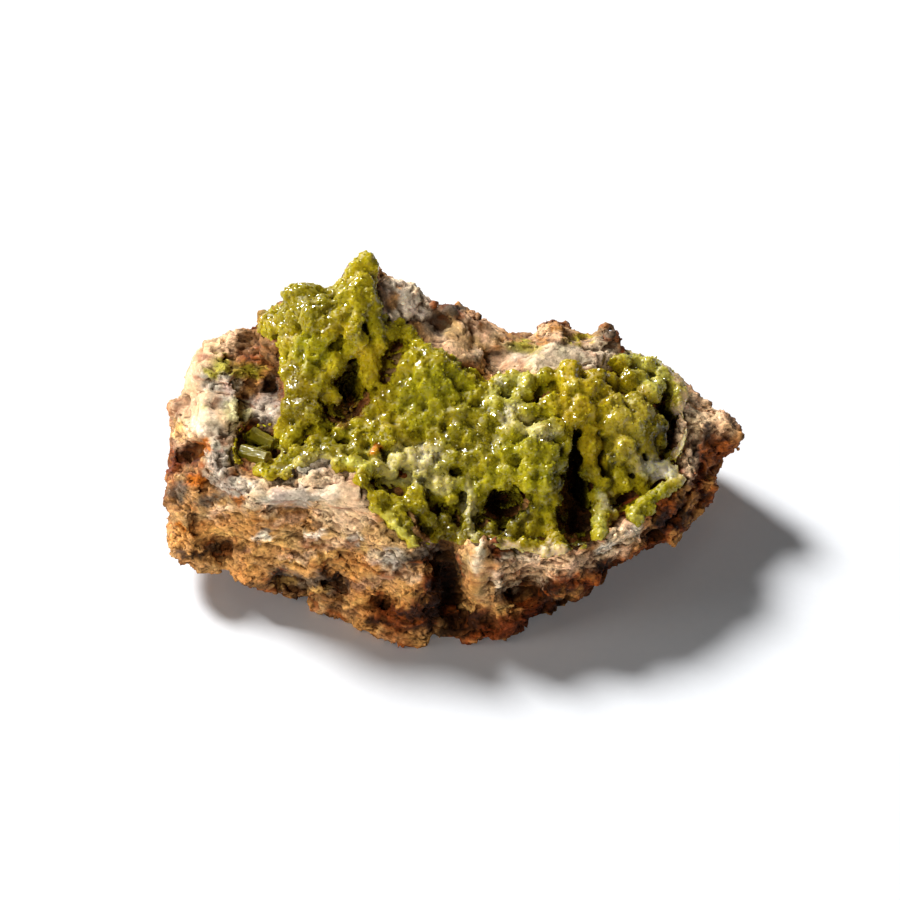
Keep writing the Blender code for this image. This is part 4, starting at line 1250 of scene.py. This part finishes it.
# %% Lumps with their broods
LUMP_INSET = 0.92
RIDGE_INSET = 0.5
RIDGE_STEP = 0.6
RIDGE_CHANGE = (0.8, 1.15)
BROOD_SHARE = (0.35, 0.55)
BROOD_REACH = (0.55, 0.72)
PIXELS_PER_YOUNG = 4
SMOOTH_LUMPS = {(590, 472), (590, 459)}
# Gaps of the solid that the real crust fills: middle across and down, radius
FILLINGS = [
    (372, 440, 9), (385, 441, 7), (414, 441, 10), (404, 438, 8), (492, 437, 9), (517, 459, 9),
    (293, 331, 9), (468, 400, 8), (475, 404, 7), (412, 430, 8), (622, 470, 8), (484, 402, 8),
]
ROUND_A_GAP_PX = 13
LEAST_OUTWARD = 0.1
chance = random.Random(41)

guide = merged_copy("pyromorphite_crust", "crust_guide")
solid_crust = tree_of(guide)
bpy.data.objects.remove(guide)
rock_tree = tree_of(rock)


def random_way(facing):
    """A random direction in the half of space that faces a given way."""
    while True:
        way = Vector([chance.gauss(0, 1) for _ in range(3)]).normalized()
        if way.dot(facing) > LEAST_OUTWARD:
            return way


def with_brood(centre, radius, facing, count):
    """A lump and smaller ones on the side of it that faces out, as middles and radii."""
    brood = [
        (
            centre + random_way(facing) * radius * chance.uniform(*BROOD_REACH),
            radius * chance.uniform(*BROOD_SHARE),
        )
        for _ in range(count)
    ]
    return [(centre, radius)] + brood


def placed_lump(px, py, radius_px):
    """A lump on the crust, or on the rock beside it, with its brood."""
    hit, normal = first_hit(solid_crust, px, py)
    if hit is None:
        hit, normal = first_hit(rock_tree, px, py)
    if hit is None:
        return []
    radius = radius_px * PIXEL
    facing = (normal + TOWARD).normalized()
    count = 0 if (px, py) in SMOOTH_LUMPS else radius_px // PIXELS_PER_YOUNG
    return with_brood(hit - TOWARD * radius * LUMP_INSET, radius, facing, count)


def filling(px, py, radius_px):
    """A lump in a gap, as far forward as the crust around the gap, with its brood."""
    radius = radius_px * PIXEL
    ways = ((1, 0), (-1, 0), (0, 1), (0, -1))
    places = [(px + x * ROUND_A_GAP_PX, py + y * ROUND_A_GAP_PX) for x, y in ways]
    hits = [first_hit(solid_crust, *place)[0] for place in places]
    forward = np.mean([(hit - VIEW_ORIGIN).dot(TOWARD) for hit in hits if hit])
    centre = at_depth(px, py, float(forward) - radius)
    return with_brood(centre, radius, TOWARD, radius_px // PIXELS_PER_YOUNG)


def ridge(line, radius_px):
    """Lumps close together along a line of the view, each a little larger or smaller."""
    lumps = []
    for start, end in zip(np.array(line[:-1], float), np.array(line[1:], float)):
        steps = max(2, round(np.hypot(*(end - start)) / (RIDGE_STEP * radius_px)))
        for share in np.arange(steps) / steps:
            px, py = (start + share * (end - start)).tolist()
            radius = radius_px * PIXEL * chance.uniform(*RIDGE_CHANGE)
            hit, _ = first_hit(solid_crust, px, py)
            if hit is not None:
                lumps += with_brood(hit - TOWARD * radius * RIDGE_INSET, radius, TOWARD, 1)
    return lumps


lumps = [part for group in LUMPS.values() for lump in group for part in placed_lump(*lump)]
lumps += [part for line in RIDGES.values() for part in ridge(*line)]
lumps += [part for gap in FILLINGS for part in filling(*gap)]
mesh = bpy.data.meshes.new("lumps")
mesh.from_pydata([centre for centre, _ in lumps], [], [])
store(mesh, "radius", "FLOAT", [radius for _, radius in lumps])
turns = [[chance.uniform(0, math.tau) for _ in range(3)] for _ in lumps]
store(mesh, "turn", "FLOAT_VECTOR", turns)
lump_points = new_object("lumps", mesh)

# %% [markdown]
# A barrel at each point, as large as the point's `radius` and turned by its `turn`, is one
# instance node. A cylinder with six sides, subdivided with a crease, gives the worn edges. The
# barrels are then joined to the crust's own solid, shrunk a little so that they stand out of
# it. Swelling the joined skin, remeshing it and shrinking it back closes the narrow gaps, as
# new crystal does in the real crust.

# %% One skin of all the lumps
SHRINK = 0.35 * MM
CRUST_VOXEL = 0.21 * MM
FILLET = 0.22 * MM
barrels, sizes, out = geometry_tree(
    "Barrels at points",
    ("Depth", "Crease"),
    (("Sides", "Int"), ("Fineness", "Int")),
)
prism = add(
    barrels,
    "GeometryNodeMeshCylinder",
    {"Vertices": sizes["Sides"], "Radius": 1.0, "Depth": sizes["Depth"]},
).outputs["Mesh"]
barrel = add(
    barrels,
    "GeometryNodeSubdivisionSurface",
    {"Mesh": prism, "Level": sizes["Fineness"], "Edge Crease": sizes["Crease"]},
).outputs["Mesh"]
turned = {"Euler": marked(barrels, "turn", "FLOAT_VECTOR")}
placed = add(
    barrels,
    "GeometryNodeInstanceOnPoints",
    {
        "Points": sizes["Geometry"],
        "Instance": barrel,
        "Rotation": add(barrels, "FunctionNodeEulerToRotation", turned).outputs[0],
        "Scale": marked(barrels, "radius"),
    },
).outputs[0]
plain = add(barrels, "GeometryNodeRealizeInstances", {"Geometry": placed}).outputs[0]
barrels.links.new(plain, out)
use_tree(lump_points, barrels, sides=6, depth=1.9, crease=0.65, fineness=2)
bake(lump_points)


def swell(piece, distance):
    """Moves the skin of a piece outward along its normals, or inward."""
    move_points(piece.data, points_of(piece.data) + normals_of(piece.data) * distance)


crust = merged_copy("pyromorphite_crust", "pyromorphite")
swell(crust, -SHRINK)
shape = bmesh.new()
shape.from_mesh(crust.data)
shape.from_mesh(lump_points.data)
shape.to_mesh(crust.data)
shape.free()
bpy.data.objects.remove(lump_points)
remesh(crust, CRUST_VOXEL)
for distance in (FILLET, -FILLET):
    swell(crust, distance)
    remesh(crust, CRUST_VOXEL)
soften = crust.modifiers.new("fused seams", "SMOOTH")
soften.factor = 0.5
soften.iterations = 1
bake(crust)
print("lumps and broods:", len(lumps), " crust skin:", triangles_in(crust.data), "triangles")

# %% [markdown]
# The remesh joins all the lumps into one skin with dark seams. A short Geometry Nodes tree then
# roughens it the way druse does, with slow swells, knobs about a millimetre across and small
# flat facets, and stores the depth of the hollows as it did on the rock. Where the crust is
# etched or weathered, marked as ovals of the view, it also crumbles the skin.

# %% Etched stretches
ETCHED_PLACES = {
    "whitish patch": (411, 464, 30, 20, 15),
    "below the right mass": (657, 468, 22, 10, -15),
    "saddle": (510, 412, 5, 18, -30),
    "foot of the saddle": (530, 428, 14, 8, -40),
    "grey stem": (470, 508, 5, 34, 4),
    "front rim, left": (505, 551, 32, 7, -3),
    "front rim, right": (562, 553, 32, 8, -3),
    "tan rim": (687, 434, 13, 46, 0),
    "front left edge": (397, 524, 34, 8, -45),
}
mark_ovals(crust, "etched", ETCHED_PLACES)

# %% Druse skin
KNOB_MIDDLE = 0.3
CRUST_HOLLOWS = {"dip": 8, "deep": 80}
druse, sizes, out = geometry_tree(
    "Druse skin",
    (
        "Swell size",
        "Swell height",
        "Knob size",
        "Knob height",
        "Facet size",
        "Facet slope",
        "Etched size",
        "Etched height",
    ),
)
place = add(druse, "GeometryNodeInputPosition").outputs[0]
knobs = cells_in(druse, place, calc(druse, "DIVIDE", 1.0, sizes["Knob size"]))["Distance"]
knobs = calc(druse, "SUBTRACT", KNOB_MIDDLE, calc(druse, "MULTIPLY", knobs, knobs))
knob_height = calc(druse, "MULTIPLY", knobs, sizes["Knob height"])
facet_height = tilted_cells(druse, place, sizes["Facet size"], sizes["Facet slope"])
swells = noise_height(druse, place, sizes, "Swell", 1.0)
height = calc(druse, "ADD", calc(druse, "ADD", knob_height, facet_height), swells)
crumbled = noise_height(druse, place, sizes, "Etched")
height = calc(druse, "MULTIPLY_ADD", crumbled, marked(druse, "etched"), height)
moved = push_out(druse, sizes["Geometry"], height)
for name, rounds in CRUST_HOLLOWS.items():
    moved = store_hollow(druse, moved, name, rounds)
druse.links.new(moved, out)

use_tree(
    crust,
    druse,
    swell_size=1.8 * MM,
    swell_height=0.3 * MM,
    knob_size=1.0 * MM,
    knob_height=0.08 * MM,
    facet_size=0.75 * MM,
    facet_slope=0.42,
    etched_size=0.55 * MM,
    etched_height=0.45 * MM,
)
bake(crust)
thin_to(crust, MOST_TRIANGLES)
print("finished crust:", triangles_in(crust.data), "triangles")

# %% [markdown]
# ## Colours of the crust
#
# Pyromorphite here runs from yellow-green to a deep olive amber where a ball is thick. Etched
# and weathered spots are pale, almost white. The ovals paint these over a base that changes
# slowly between olive and yellow-green, and near-black ovals in the cavities and a darker front
# floor are painted shade.

# %% Crust colours
OLIVE = "#8e790a"
DEEP_OLIVE = "#705f06"
YELLOW_GREEN = "#a08e12"
SOFT_OLIVE = "#7d6f0e"
BRIGHT_GREEN = "#918710"
AMBER = "#ac9114"
PALE_CRYSTAL = "#b4a948"
ETCHED = "#b8a962"
WHITE_CRYSTAL = "#bcae80"
# Near-black, used as painted shade in the cavities of the crust
PAINTED_GAP_SHADE = "#2c2406"
SHADED_FLOOR = "#5c4e08"
DULL_CRYSTAL = "#a8932c"
STEM_GREY = "#9c9058"
FIBRE_GREY = "#a99f88"
ORANGE_GRAIN = "#c4701c"
BROWN_FLOOR = "#8a5a2c"
CRUST_STAINS = [
    (YELLOW_GREEN, [(360, 290, 26, 40, 0), (305, 300, 40, 20, 0), (330, 440, 60, 22, 10),
                    (430, 350, 40, 20, -30), (640, 420, 20, 24, 0)]),
    (BRIGHT_GREEN, [(500, 430, 60, 40, 0), (440, 400, 40, 40, 0), (310, 350, 20, 20, 0),
                    (470, 470, 40, 30, 0), (540, 385, 24, 12, 0), (535, 460, 30, 40, 0)]),
    (SOFT_OLIVE, [(305, 302, 40, 26, 0), (462, 440, 36, 40, 0), (330, 450, 60, 18, 10)]),
    (SHADED_FLOOR, [(470, 524, 64, 22, 0)]),
    (YELLOW_GREEN, [(362, 272, 16, 24, 0)]),
    (AMBER, [(580, 396, 28, 34, 0), (370, 364, 14, 22, 0), (590, 450, 14, 28, 0)]),
    (DULL_CRYSTAL, [(636, 428, 26, 38, 0)]),
    (DEEP_OLIVE, [(300, 400, 20, 36, 0), (260, 450, 20, 16, 0), (660, 440, 12, 24, 0)]),
    (BRIGHT_GREEN, [(648, 501, 34, 10, 38)]),
    (PALE_CRYSTAL, [(650, 362, 40, 10, -25), (660, 382, 20, 12, -30), (450, 352, 26, 6, -32),
                    (628, 518, 8, 5, 38), (600, 512, 7, 22, 0), (500, 395, 16, 10, 0),
                    (520, 378, 18, 6, 0), (360, 462, 18, 8, 0)]),
    (ETCHED, [(411, 464, 30, 20, 15), (530, 428, 14, 10, -40), (512, 414, 6, 16, -35),
              (440, 482, 14, 10, 0), (545, 432, 14, 10, 0), (312, 462, 26, 6, 12)]),
    (WHITE_CRYSTAL, [(508, 410, 4, 16, -30), (657, 468, 24, 11, -15), (428, 458, 12, 8, 30),
                     (608, 502, 10, 8, 0), (420, 446, 8, 6, 0), (500, 382, 8, 4, 0)]),
    (STEM_GREY, [(470, 508, 5, 34, 4)]),
    (FIBRE_GREY, [(657, 470, 18, 7, -15)]),
    (CREAM, [(505, 550, 32, 7, -3), (562, 552, 32, 8, -3)]),
    (PALE_CRYSTAL, [(404, 532, 24, 6, -45)]),
    # Near-black painted shade in the cavities and gaps of the crust
    (PAINTED_GAP_SHADE, [(671, 428, 8, 26, 0), (572, 495, 18, 40, 0), (510, 505, 26, 16, 0),
                  (350, 384, 8, 24, -10), (344, 408, 14, 9, 20), (421, 476, 7, 5, 0),
                  (582, 545, 16, 9, 0), (577, 520, 9, 24, 0), (609, 470, 5, 24, 0),
                  (620, 522, 8, 6, 0)]),
    (RIM_TAN, [(688, 436, 13, 46, 0)]),
    (CREAM, [(679, 368, 16, 7, -42)]),
    (ORANGE_GRAIN, [(376, 450, 6, 5, 0)]),
    (BROWN_FLOOR, [(352, 408, 14, 10, -30), (345, 420, 10, 6, 0)]),
]
GREEN_PATCH = 7 * MM
GREEN_CONTRAST = 1.4


def grown_green(points):
    """The crust's own colour, which drifts between olive and yellow-green."""
    drift = noise_of(points, GREEN_PATCH, 2) * GREEN_CONTRAST + 0.5
    drift = np.clip(drift, 0, 1)[:, None]
    return linear(OLIVE) * (1 - drift) + linear(YELLOW_GREEN) * drift


paint(crust, "tint", grown_green, CRUST_STAINS)
print("colour patches on the crust:", len(CRUST_STAINS))

# %% [markdown]
# ## The crystal material
#
# Pyromorphite is glassy to resinous, with a refractive index of about 2.05. A weathered crust
# shines less than a clean crystal, so a lower index, 1.7, does here. It lets some light in,
# which a subsurface share carries under the skin. Facets too small for the mesh are a Voronoi
# pattern: each cell has a slightly lighter or darker shade, and turns the normal a little its
# own way. Half of the cells are smooth enough to flash, most of all in patches that noise
# picks, while their neighbours stay dull. The etched stretches have no such cells.


# %% Pyromorphite material
SPARKLE_PATCH = 3 * MM
PATCH_EDGE = (0.3, 0.6)
SPARKLE_SHARE = 0.5
SHADE_CHANGE = 0.2
LEAST_SHADE = 0.9
# Painted shade in the creases and gaps between the lumps: stored depth, how deep a hollow is where
# it is darkest, the shade colour and its most share
CRYSTAL_PAINTED_SHADE = (("dip", 0.26 * MM, "#443b04", 0.75), ("deep", 0.9 * MM, "#1e1804", 0.92))
RIDGE_YELLOW = "#beb42c"


def crystal_material(name, facet_size, facet_turn, roughness):
    """Pyromorphite with facets of a size: how far they turn, and dull and bright roughness."""
    material, tree, shader = principled(name)
    place = add(tree, "ShaderNodeTexCoord").outputs["Object"]
    colour = stored(tree, "tint", "Color")
    colour = use_group(tree, mottled, colour=colour, size=2.2 * MM, change=0.3)
    colour = mix(tree, ridge_share(tree, 0.14 * MM, 0.2), colour, RIDGE_YELLOW)
    # Painted shade in the creases and gaps between the lumps
    for dirt in CRYSTAL_PAINTED_SHADE:
        colour = darker_in_hollows(tree, colour, *dirt)
    facets = cells_in(tree, place, 1 / facet_size)["Color"]
    shade = calc(tree, "MULTIPLY_ADD", red_of(tree, facets), SHADE_CHANGE, LEAST_SHADE)
    colour = scaled(tree, colour, shade)
    grouped = noise_in(tree, place, 1 / SPARKLE_PATCH, 2.0)["Fac"]
    chosen = along(tree, "DOT_PRODUCT", facets, (0, 0, 1))
    flashes = calc(tree, "GREATER_THAN", chosen, 1 - SPARKLE_SHARE)
    whole = calc(tree, "SUBTRACT", 1.0, stored(tree, "etched"))
    bright = calc(tree, "MULTIPLY", flashes, whole)
    grouped = calc(tree, "MULTIPLY", grouped, bright)
    most_turn = ramp(tree, grouped, *PATCH_EDGE, *facet_turn)
    skin = add(tree, "ShaderNodeNewGeometry").outputs["Normal"]
    turn = scaled(tree, from_half(tree, facets), most_turn)
    feed(
        tree,
        shader,
        Base_Color=colour,
        Roughness=ramp(tree, bright, 0.0, 1.0, *roughness),
        Normal=along(tree, "NORMALIZE", along(tree, "ADD", skin, turn)),
        IOR=1.7,
        Specular_IOR_Level=0.42,
        Subsurface_Weight=0.65,
        Subsurface_Radius=(1.0, 0.85, 0.15),
        Subsurface_Scale=1.3 * MM,
    )
    return material


crust_finish = crystal_material("pyromorphite crust", 0.38 * MM, (0.12, 1.1), (0.55, 0.06))
dress(crust, crust_finish)
crystal_finish = crystal_material("pyromorphite crystals", 0.8 * MM, (0.06, 0.3), (0.4, 0.07))
prism_finish = crystal_material("pyromorphite prisms", 0.5 * MM, (0.1, 0.4), (0.5, 0.3))

# %% [markdown]
# ## Stubby prisms
#
# A few crystals grew large enough to show their six-sided shape on their own: two in the pocket
# at the left, a plate on edge beside them, and three small ones between them. They are cones of
# six sides with almost equal ends. A narrow bevel catches the light on their edges, and the
# tree of the crust's skin gives their faces the same slightly uneven growth.

# %% Prisms
PRISM_OLIVE = "#6c6212"
PRISM_BEVEL = 0.07 * MM
PRISM_TAPER = 0.86
PRISM_STAINS = [(PRISM_OLIVE, [(258, 447, 40, 30, 0)])]
# How far the axis of a prism lies above the skin, in half widths
LARGE_RISE = 0.35
SMALL_RISE = -0.25
MOST_STRETCH = 1.8
skin_now = tree_of(crust)


def add_prism(shape, rise, px, py, long_px, half_px, turn_degrees):
    """A six-sided crystal that lies on the crust between two places of the view."""
    turn = math.radians(turn_degrees)
    ends = []
    for sign in (-0.5, 0.5):
        end_px = px + sign * long_px * math.cos(turn)
        end_py = py - sign * long_px * math.sin(turn)
        hit, _ = first_hit(skin_now, end_px, end_py)
        if hit is None:
            return
        ends.append(hit + TOWARD * rise * half_px * PIXEL)
    run = ends[1] - ends[0]
    if run.length > MOST_STRETCH * long_px * PIXEL:
        run = run.normalized() * long_px * PIXEL
    middle = (ends[0] + ends[1]) / 2
    upright = run.to_track_quat("Z", "Y").to_matrix().to_4x4()
    spin = Matrix.Rotation(chance.uniform(0, math.pi / 3), 4, "Z")
    bmesh.ops.create_cone(
        shape,
        cap_ends=True,
        segments=6,
        radius1=half_px * PIXEL,
        radius2=half_px * PIXEL * PRISM_TAPER,
        depth=run.length,
        matrix=Matrix.Translation(middle) @ upright @ spin,
    )


shape = bmesh.new()
for prism in PRISMS.values():
    add_prism(shape, LARGE_RISE, *prism)
for prism in SMALL_PRISMS:
    add_prism(shape, SMALL_RISE, *prism)
mesh = bpy.data.meshes.new("stubby_prisms")
shape.to_mesh(mesh)
shape.free()
prisms = new_object("stubby_prisms", mesh)
edges = prisms.modifiers.new("edges", "BEVEL")
edges.width = PRISM_BEVEL
edges.segments = 2
cut = prisms.modifiers.new("finer faces", "SUBSURF")
cut.subdivision_type = "SIMPLE"
cut.levels = 3
bake(prisms)
use_tree(
    prisms,
    druse,
    swell_size=1.6 * MM,
    swell_height=0.25 * MM,
    knob_size=0.8 * MM,
    knob_height=0.05 * MM,
    facet_size=0.6 * MM,
    facet_slope=0.2,
    etched_size=0.5 * MM,
    etched_height=0.0,
)
bake(prisms)
paint(prisms, "tint", grown_green, PRISM_STAINS)
dress(prisms, prism_finish)
print("prisms:", triangles_in(prisms.data), "triangles")

# %% [markdown]
# ## Thousands of crystal tips
#
# Every lump bristles with crystal tips up to 0.6 mm wide, and they sparkle with the facets of
# the skin. They repeat over a surface, so Geometry Nodes scatter them: points at least a gap
# apart, so many to a square metre at most, each with a six-sided tip that leans a little, sunk
# so that only its end shows. A point attribute, `open`, keeps them off the hidden underside.

# %% Where the skin is open
LOOK_OUT = 1.6 * MM
OFF_THE_SKIN = 0.05 * MM
OFF_THE_ROCK = 0.2 * MM


def mark_open(piece):
    """Marks the points that stand clear of the rock and of the crust's other parts."""
    points = points_of(piece.data)
    own = tree_of(piece)
    is_open = np.zeros(len(points), np.float32)
    for index, (point, way) in enumerate(zip(points, normals_of(piece.data))):
        start, way = Vector(point), Vector(way)
        spot, facing, _, _ = rock_tree.find_nearest(start)
        if (start - spot).dot(facing) > OFF_THE_ROCK:
            blocked = own.ray_cast(start + way * OFF_THE_SKIN, way, LOOK_OUT)[0]
            is_open[index] = blocked is None
    store(piece.data, "open", "FLOAT", is_open)
    return is_open.mean()


print("open share of the crust:", round(float(mark_open(crust)), 2))

# %% Crystal tips
TIP_TAPER = 0.74
SUNK_SHARE = -0.68
scatter, sizes, out = geometry_tree(
    "Scatter on skin",
    ("Gap", "Density", "Width", "Length", "Least", "Lean"),
    (("Grow where", "String"), ("Sides", "Int"), ("Seed", "Int"), ("Finish", "Material")),
)


def of_parts(x, y, z):
    """A vector of three values in the scatter tree."""
    return add(scatter, "ShaderNodeCombineXYZ", {"X": x, "Y": y, "Z": z}).outputs[0]


spots = add(
    scatter,
    "GeometryNodeDistributePointsOnFaces",
    {
        "Mesh": sizes["Geometry"],
        "Distance Min": sizes["Gap"],
        "Density Max": sizes["Density"],
        "Density Factor": marked(scatter, sizes["Grow where"]),
        "Seed": sizes["Seed"],
    },
    distribute_method="POISSON",
).outputs
tip = add(
    scatter,
    "GeometryNodeMeshCone",
    {
        "Vertices": sizes["Sides"],
        "Radius Bottom": sizes["Width"],
        "Radius Top": calc(scatter, "MULTIPLY", sizes["Width"], TIP_TAPER),
        "Depth": sizes["Length"],
    },
).outputs["Mesh"]
down = of_parts(0.0, 0.0, calc(scatter, "MULTIPLY", sizes["Length"], SUNK_SHARE))
sunk = add(scatter, "GeometryNodeTransform", {"Geometry": tip, "Translation": down}).outputs[0]
flat = add(
    scatter, "GeometryNodeSetShadeSmooth", {"Geometry": sunk, "Shade Smooth": False}
).outputs[0]
back = calc(scatter, "MULTIPLY", sizes["Lean"], -1.0)
lean = add(
    scatter,
    "FunctionNodeRandomValue",
    {
        0: of_parts(back, back, 0.0),
        1: of_parts(sizes["Lean"], sizes["Lean"], math.tau),
        "Seed": sizes["Seed"],
    },
    data_type="FLOAT_VECTOR",
).outputs[0]
turned = add(
    scatter,
    "FunctionNodeRotateRotation",
    {"Rotation": spots["Rotation"], "Rotate By": lean},
    rotation_space="LOCAL",
).outputs[0]
grow = add(
    scatter,
    "FunctionNodeRandomValue",
    {2: sizes["Least"], 3: 1.0, "Seed": calc(scatter, "ADD", sizes["Seed"], 1.0)},
    data_type="FLOAT",
).outputs[1]
placed = add(
    scatter,
    "GeometryNodeInstanceOnPoints",
    {"Points": spots["Points"], "Instance": flat, "Rotation": turned, "Scale": grow},
).outputs[0]
plain = add(scatter, "GeometryNodeRealizeInstances", {"Geometry": placed}).outputs[0]
finish = {"Geometry": plain, "Material": sizes["Finish"]}
scatter.links.new(add(scatter, "GeometryNodeSetMaterial", finish).outputs[0], out)


def scattered(name, on, **chosen):
    """A plain mesh of everything that the tree scatters on a piece."""
    helper = new_object(name + "_skin", on.data.copy())
    use_tree(helper, scatter, **chosen)
    bake(helper)
    made = new_object(name, helper.data)
    bpy.data.objects.remove(helper)
    print(name + ":", triangles_in(made.data), "triangles")
    return made


tips = scattered(
    "crystal_tips",
    crust,
    grow_where="open",
    gap=0.7 * MM,
    density=3e6,
    width=0.3 * MM,
    length=0.5 * MM,
    least=0.35,
    lean=0.6,
    sides=6,
    seed=3,
    finish=crystal_finish,
)

# %% [markdown]
# ## Loose grit on the rock
#
# Broken rock is covered with crumbs of itself. The same tree scatters five-sided crumbs over
# the rock, in the rock's own stain and finish, and leaves the smooth films clean.

# %% Crumbs
CLEAR_FOOT = 1.2 * MM
CRUMB_PATCH = 4 * MM
FEWEST_CRUMBS = 0.1
LOST_ON_FILM = 1.2
points = points_of(rock.data)
smooth_share = np.zeros(len(points), np.float32)
rock.data.attributes["smooth"].data.foreach_get("value", smooth_share)
above_foot = np.clip((points[:, 2] - CLEAR_FOOT) / MM, 0, 1)
patchy = np.clip(noise_of(points, CRUMB_PATCH, 2) * 2 + 0.5, FEWEST_CRUMBS, 1)
bare = np.clip(1 - LOST_ON_FILM * smooth_share, 0, 1) * above_foot * patchy
store(rock.data, "crumbly", "FLOAT", bare)
crumbs = scattered(
    "rock_crumbs",
    rock,
    grow_where="crumbly",
    gap=0.7 * MM,
    density=1.5e6,
    width=0.3 * MM,
    length=0.42 * MM,
    least=0.35,
    lean=1.2,
    sides=5,
    seed=11,
    finish=rock_finish,
)

# %% [markdown]
# ## Table, lights and camera
#
# The specimen lies on a plain pale table. A soft key light at the back left throws the shadow to
# the right and toward the eye. It stands far off, so that the table is lit evenly. A low fill
# at the left and a front light reach only the specimen, by light linking, and leave the shadow
# dark. A weak fill at the left and a lift from above without shadows reach only the table, and
# set how grey the shadow is. A dim even sky does the rest. The camera looks down at 45 degrees
# through a long lens, so that the view hardly narrows with distance.

# %% Table
TABLE_SIZE = 3.0
bpy.ops.mesh.primitive_plane_add(size=TABLE_SIZE)
table = bpy.context.object
table.name = "table"
table_finish, tree, shader = principled("pale table")
place = add(tree, "ShaderNodeTexCoord").outputs["Object"]
paper = noise_in(tree, place, 900.0, 2.0)["Fac"]
feed(tree, shader, Base_Color=mix(tree, paper, "#f1f3f6", "#f5f7fa"), Roughness=0.9)
table.data.materials.append(table_finish)


# %% Lights
def soft_light(name, way, distance, wide, tall, watts):
    """An oval lamp in a direction and at a distance from the specimen, turned to face it."""
    lamp = bpy.data.lights.new(name, "AREA")
    lamp.shape = "ELLIPSE"
    lamp.size = wide
    lamp.size_y = tall
    lamp.energy = watts
    made = bpy.data.objects.new(name, lamp)
    bpy.context.scene.collection.objects.link(made)
    way = Vector(way).normalized()
    made.location = way * distance
    made.rotation_euler = way.to_track_quat("Z", "Y").to_euler()
    return made


def light_only(name, pieces, lamps):
    """Lets lamps reach only some pieces."""
    lit = bpy.data.collections.new(name)
    for piece in pieces:
        lit.objects.link(piece)
    for lamp in lamps:
        lamp.light_linking.receiver_collection = lit


# Direction, distance, width, height and power in watts
soft_light("key", (-0.82, 0.77, 1.0), 2.5, 0.75, 0.75, 99.0)
low_fill = soft_light("low fill", (-0.78, -0.58, 0.25), 0.75, 0.5, 0.2, 3.2)
low_fill.visible_glossy = False
front = soft_light("front", (-0.35, -0.66, 0.66), 0.75, 0.25, 0.25, 3.2)
front.visible_glossy = False
table_fill = soft_light("table fill", (-0.9, -0.15, 0.35), 0.75, 0.3, 0.3, 0.8)
table_lift = soft_light("table lift", (0.0, 0.0, 1.0), 2.5, 1.0, 1.0, 6.5)
table_lift.data.use_shadow = False
light_only("lit from the front", (rock, crust, prisms, tips, crumbs), (low_fill, front))
light_only("table lit at the left", (table,), (table_fill, table_lift))

SKY = 0.025
world = bpy.data.worlds.new("studio")
bpy.context.scene.world = world
world.use_nodes = True
sky = world.node_tree.nodes["Background"]
sky.inputs["Color"].default_value = (1, 1, 1, 1)
sky.inputs["Strength"].default_value = SKY

# %% Camera
LENS = 200
SENSOR = 36
MIDDLE_TOWARD = 26 * MM
distance = PHOTO_SIDE_PX * PIXEL * LENS / SENSOR
camera = bpy.data.objects.new("camera", bpy.data.cameras.new("camera"))
bpy.context.scene.collection.objects.link(camera)
camera.data.lens = LENS
camera.data.sensor_width = SENSOR
camera.data.clip_start = 0.01
camera.data.clip_end = 10
camera.location = at_depth(*PHOTO_CENTRE_PX, MIDDLE_TOWARD + distance)
camera.rotation_euler = TOWARD.to_track_quat("Z", "Y").to_euler()
bpy.context.scene.camera = camera
bpy.context.scene.view_settings.view_transform = "Standard"
print("camera", round(distance, 3), "m away")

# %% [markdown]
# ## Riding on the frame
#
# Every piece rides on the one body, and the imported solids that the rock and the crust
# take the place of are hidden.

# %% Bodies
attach(rock, "root")
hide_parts("matrix")
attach(crust, "root")
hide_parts("pyromorphite_crust")
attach(prisms, "root")
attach(tips, "root")
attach(crumbs, "root")
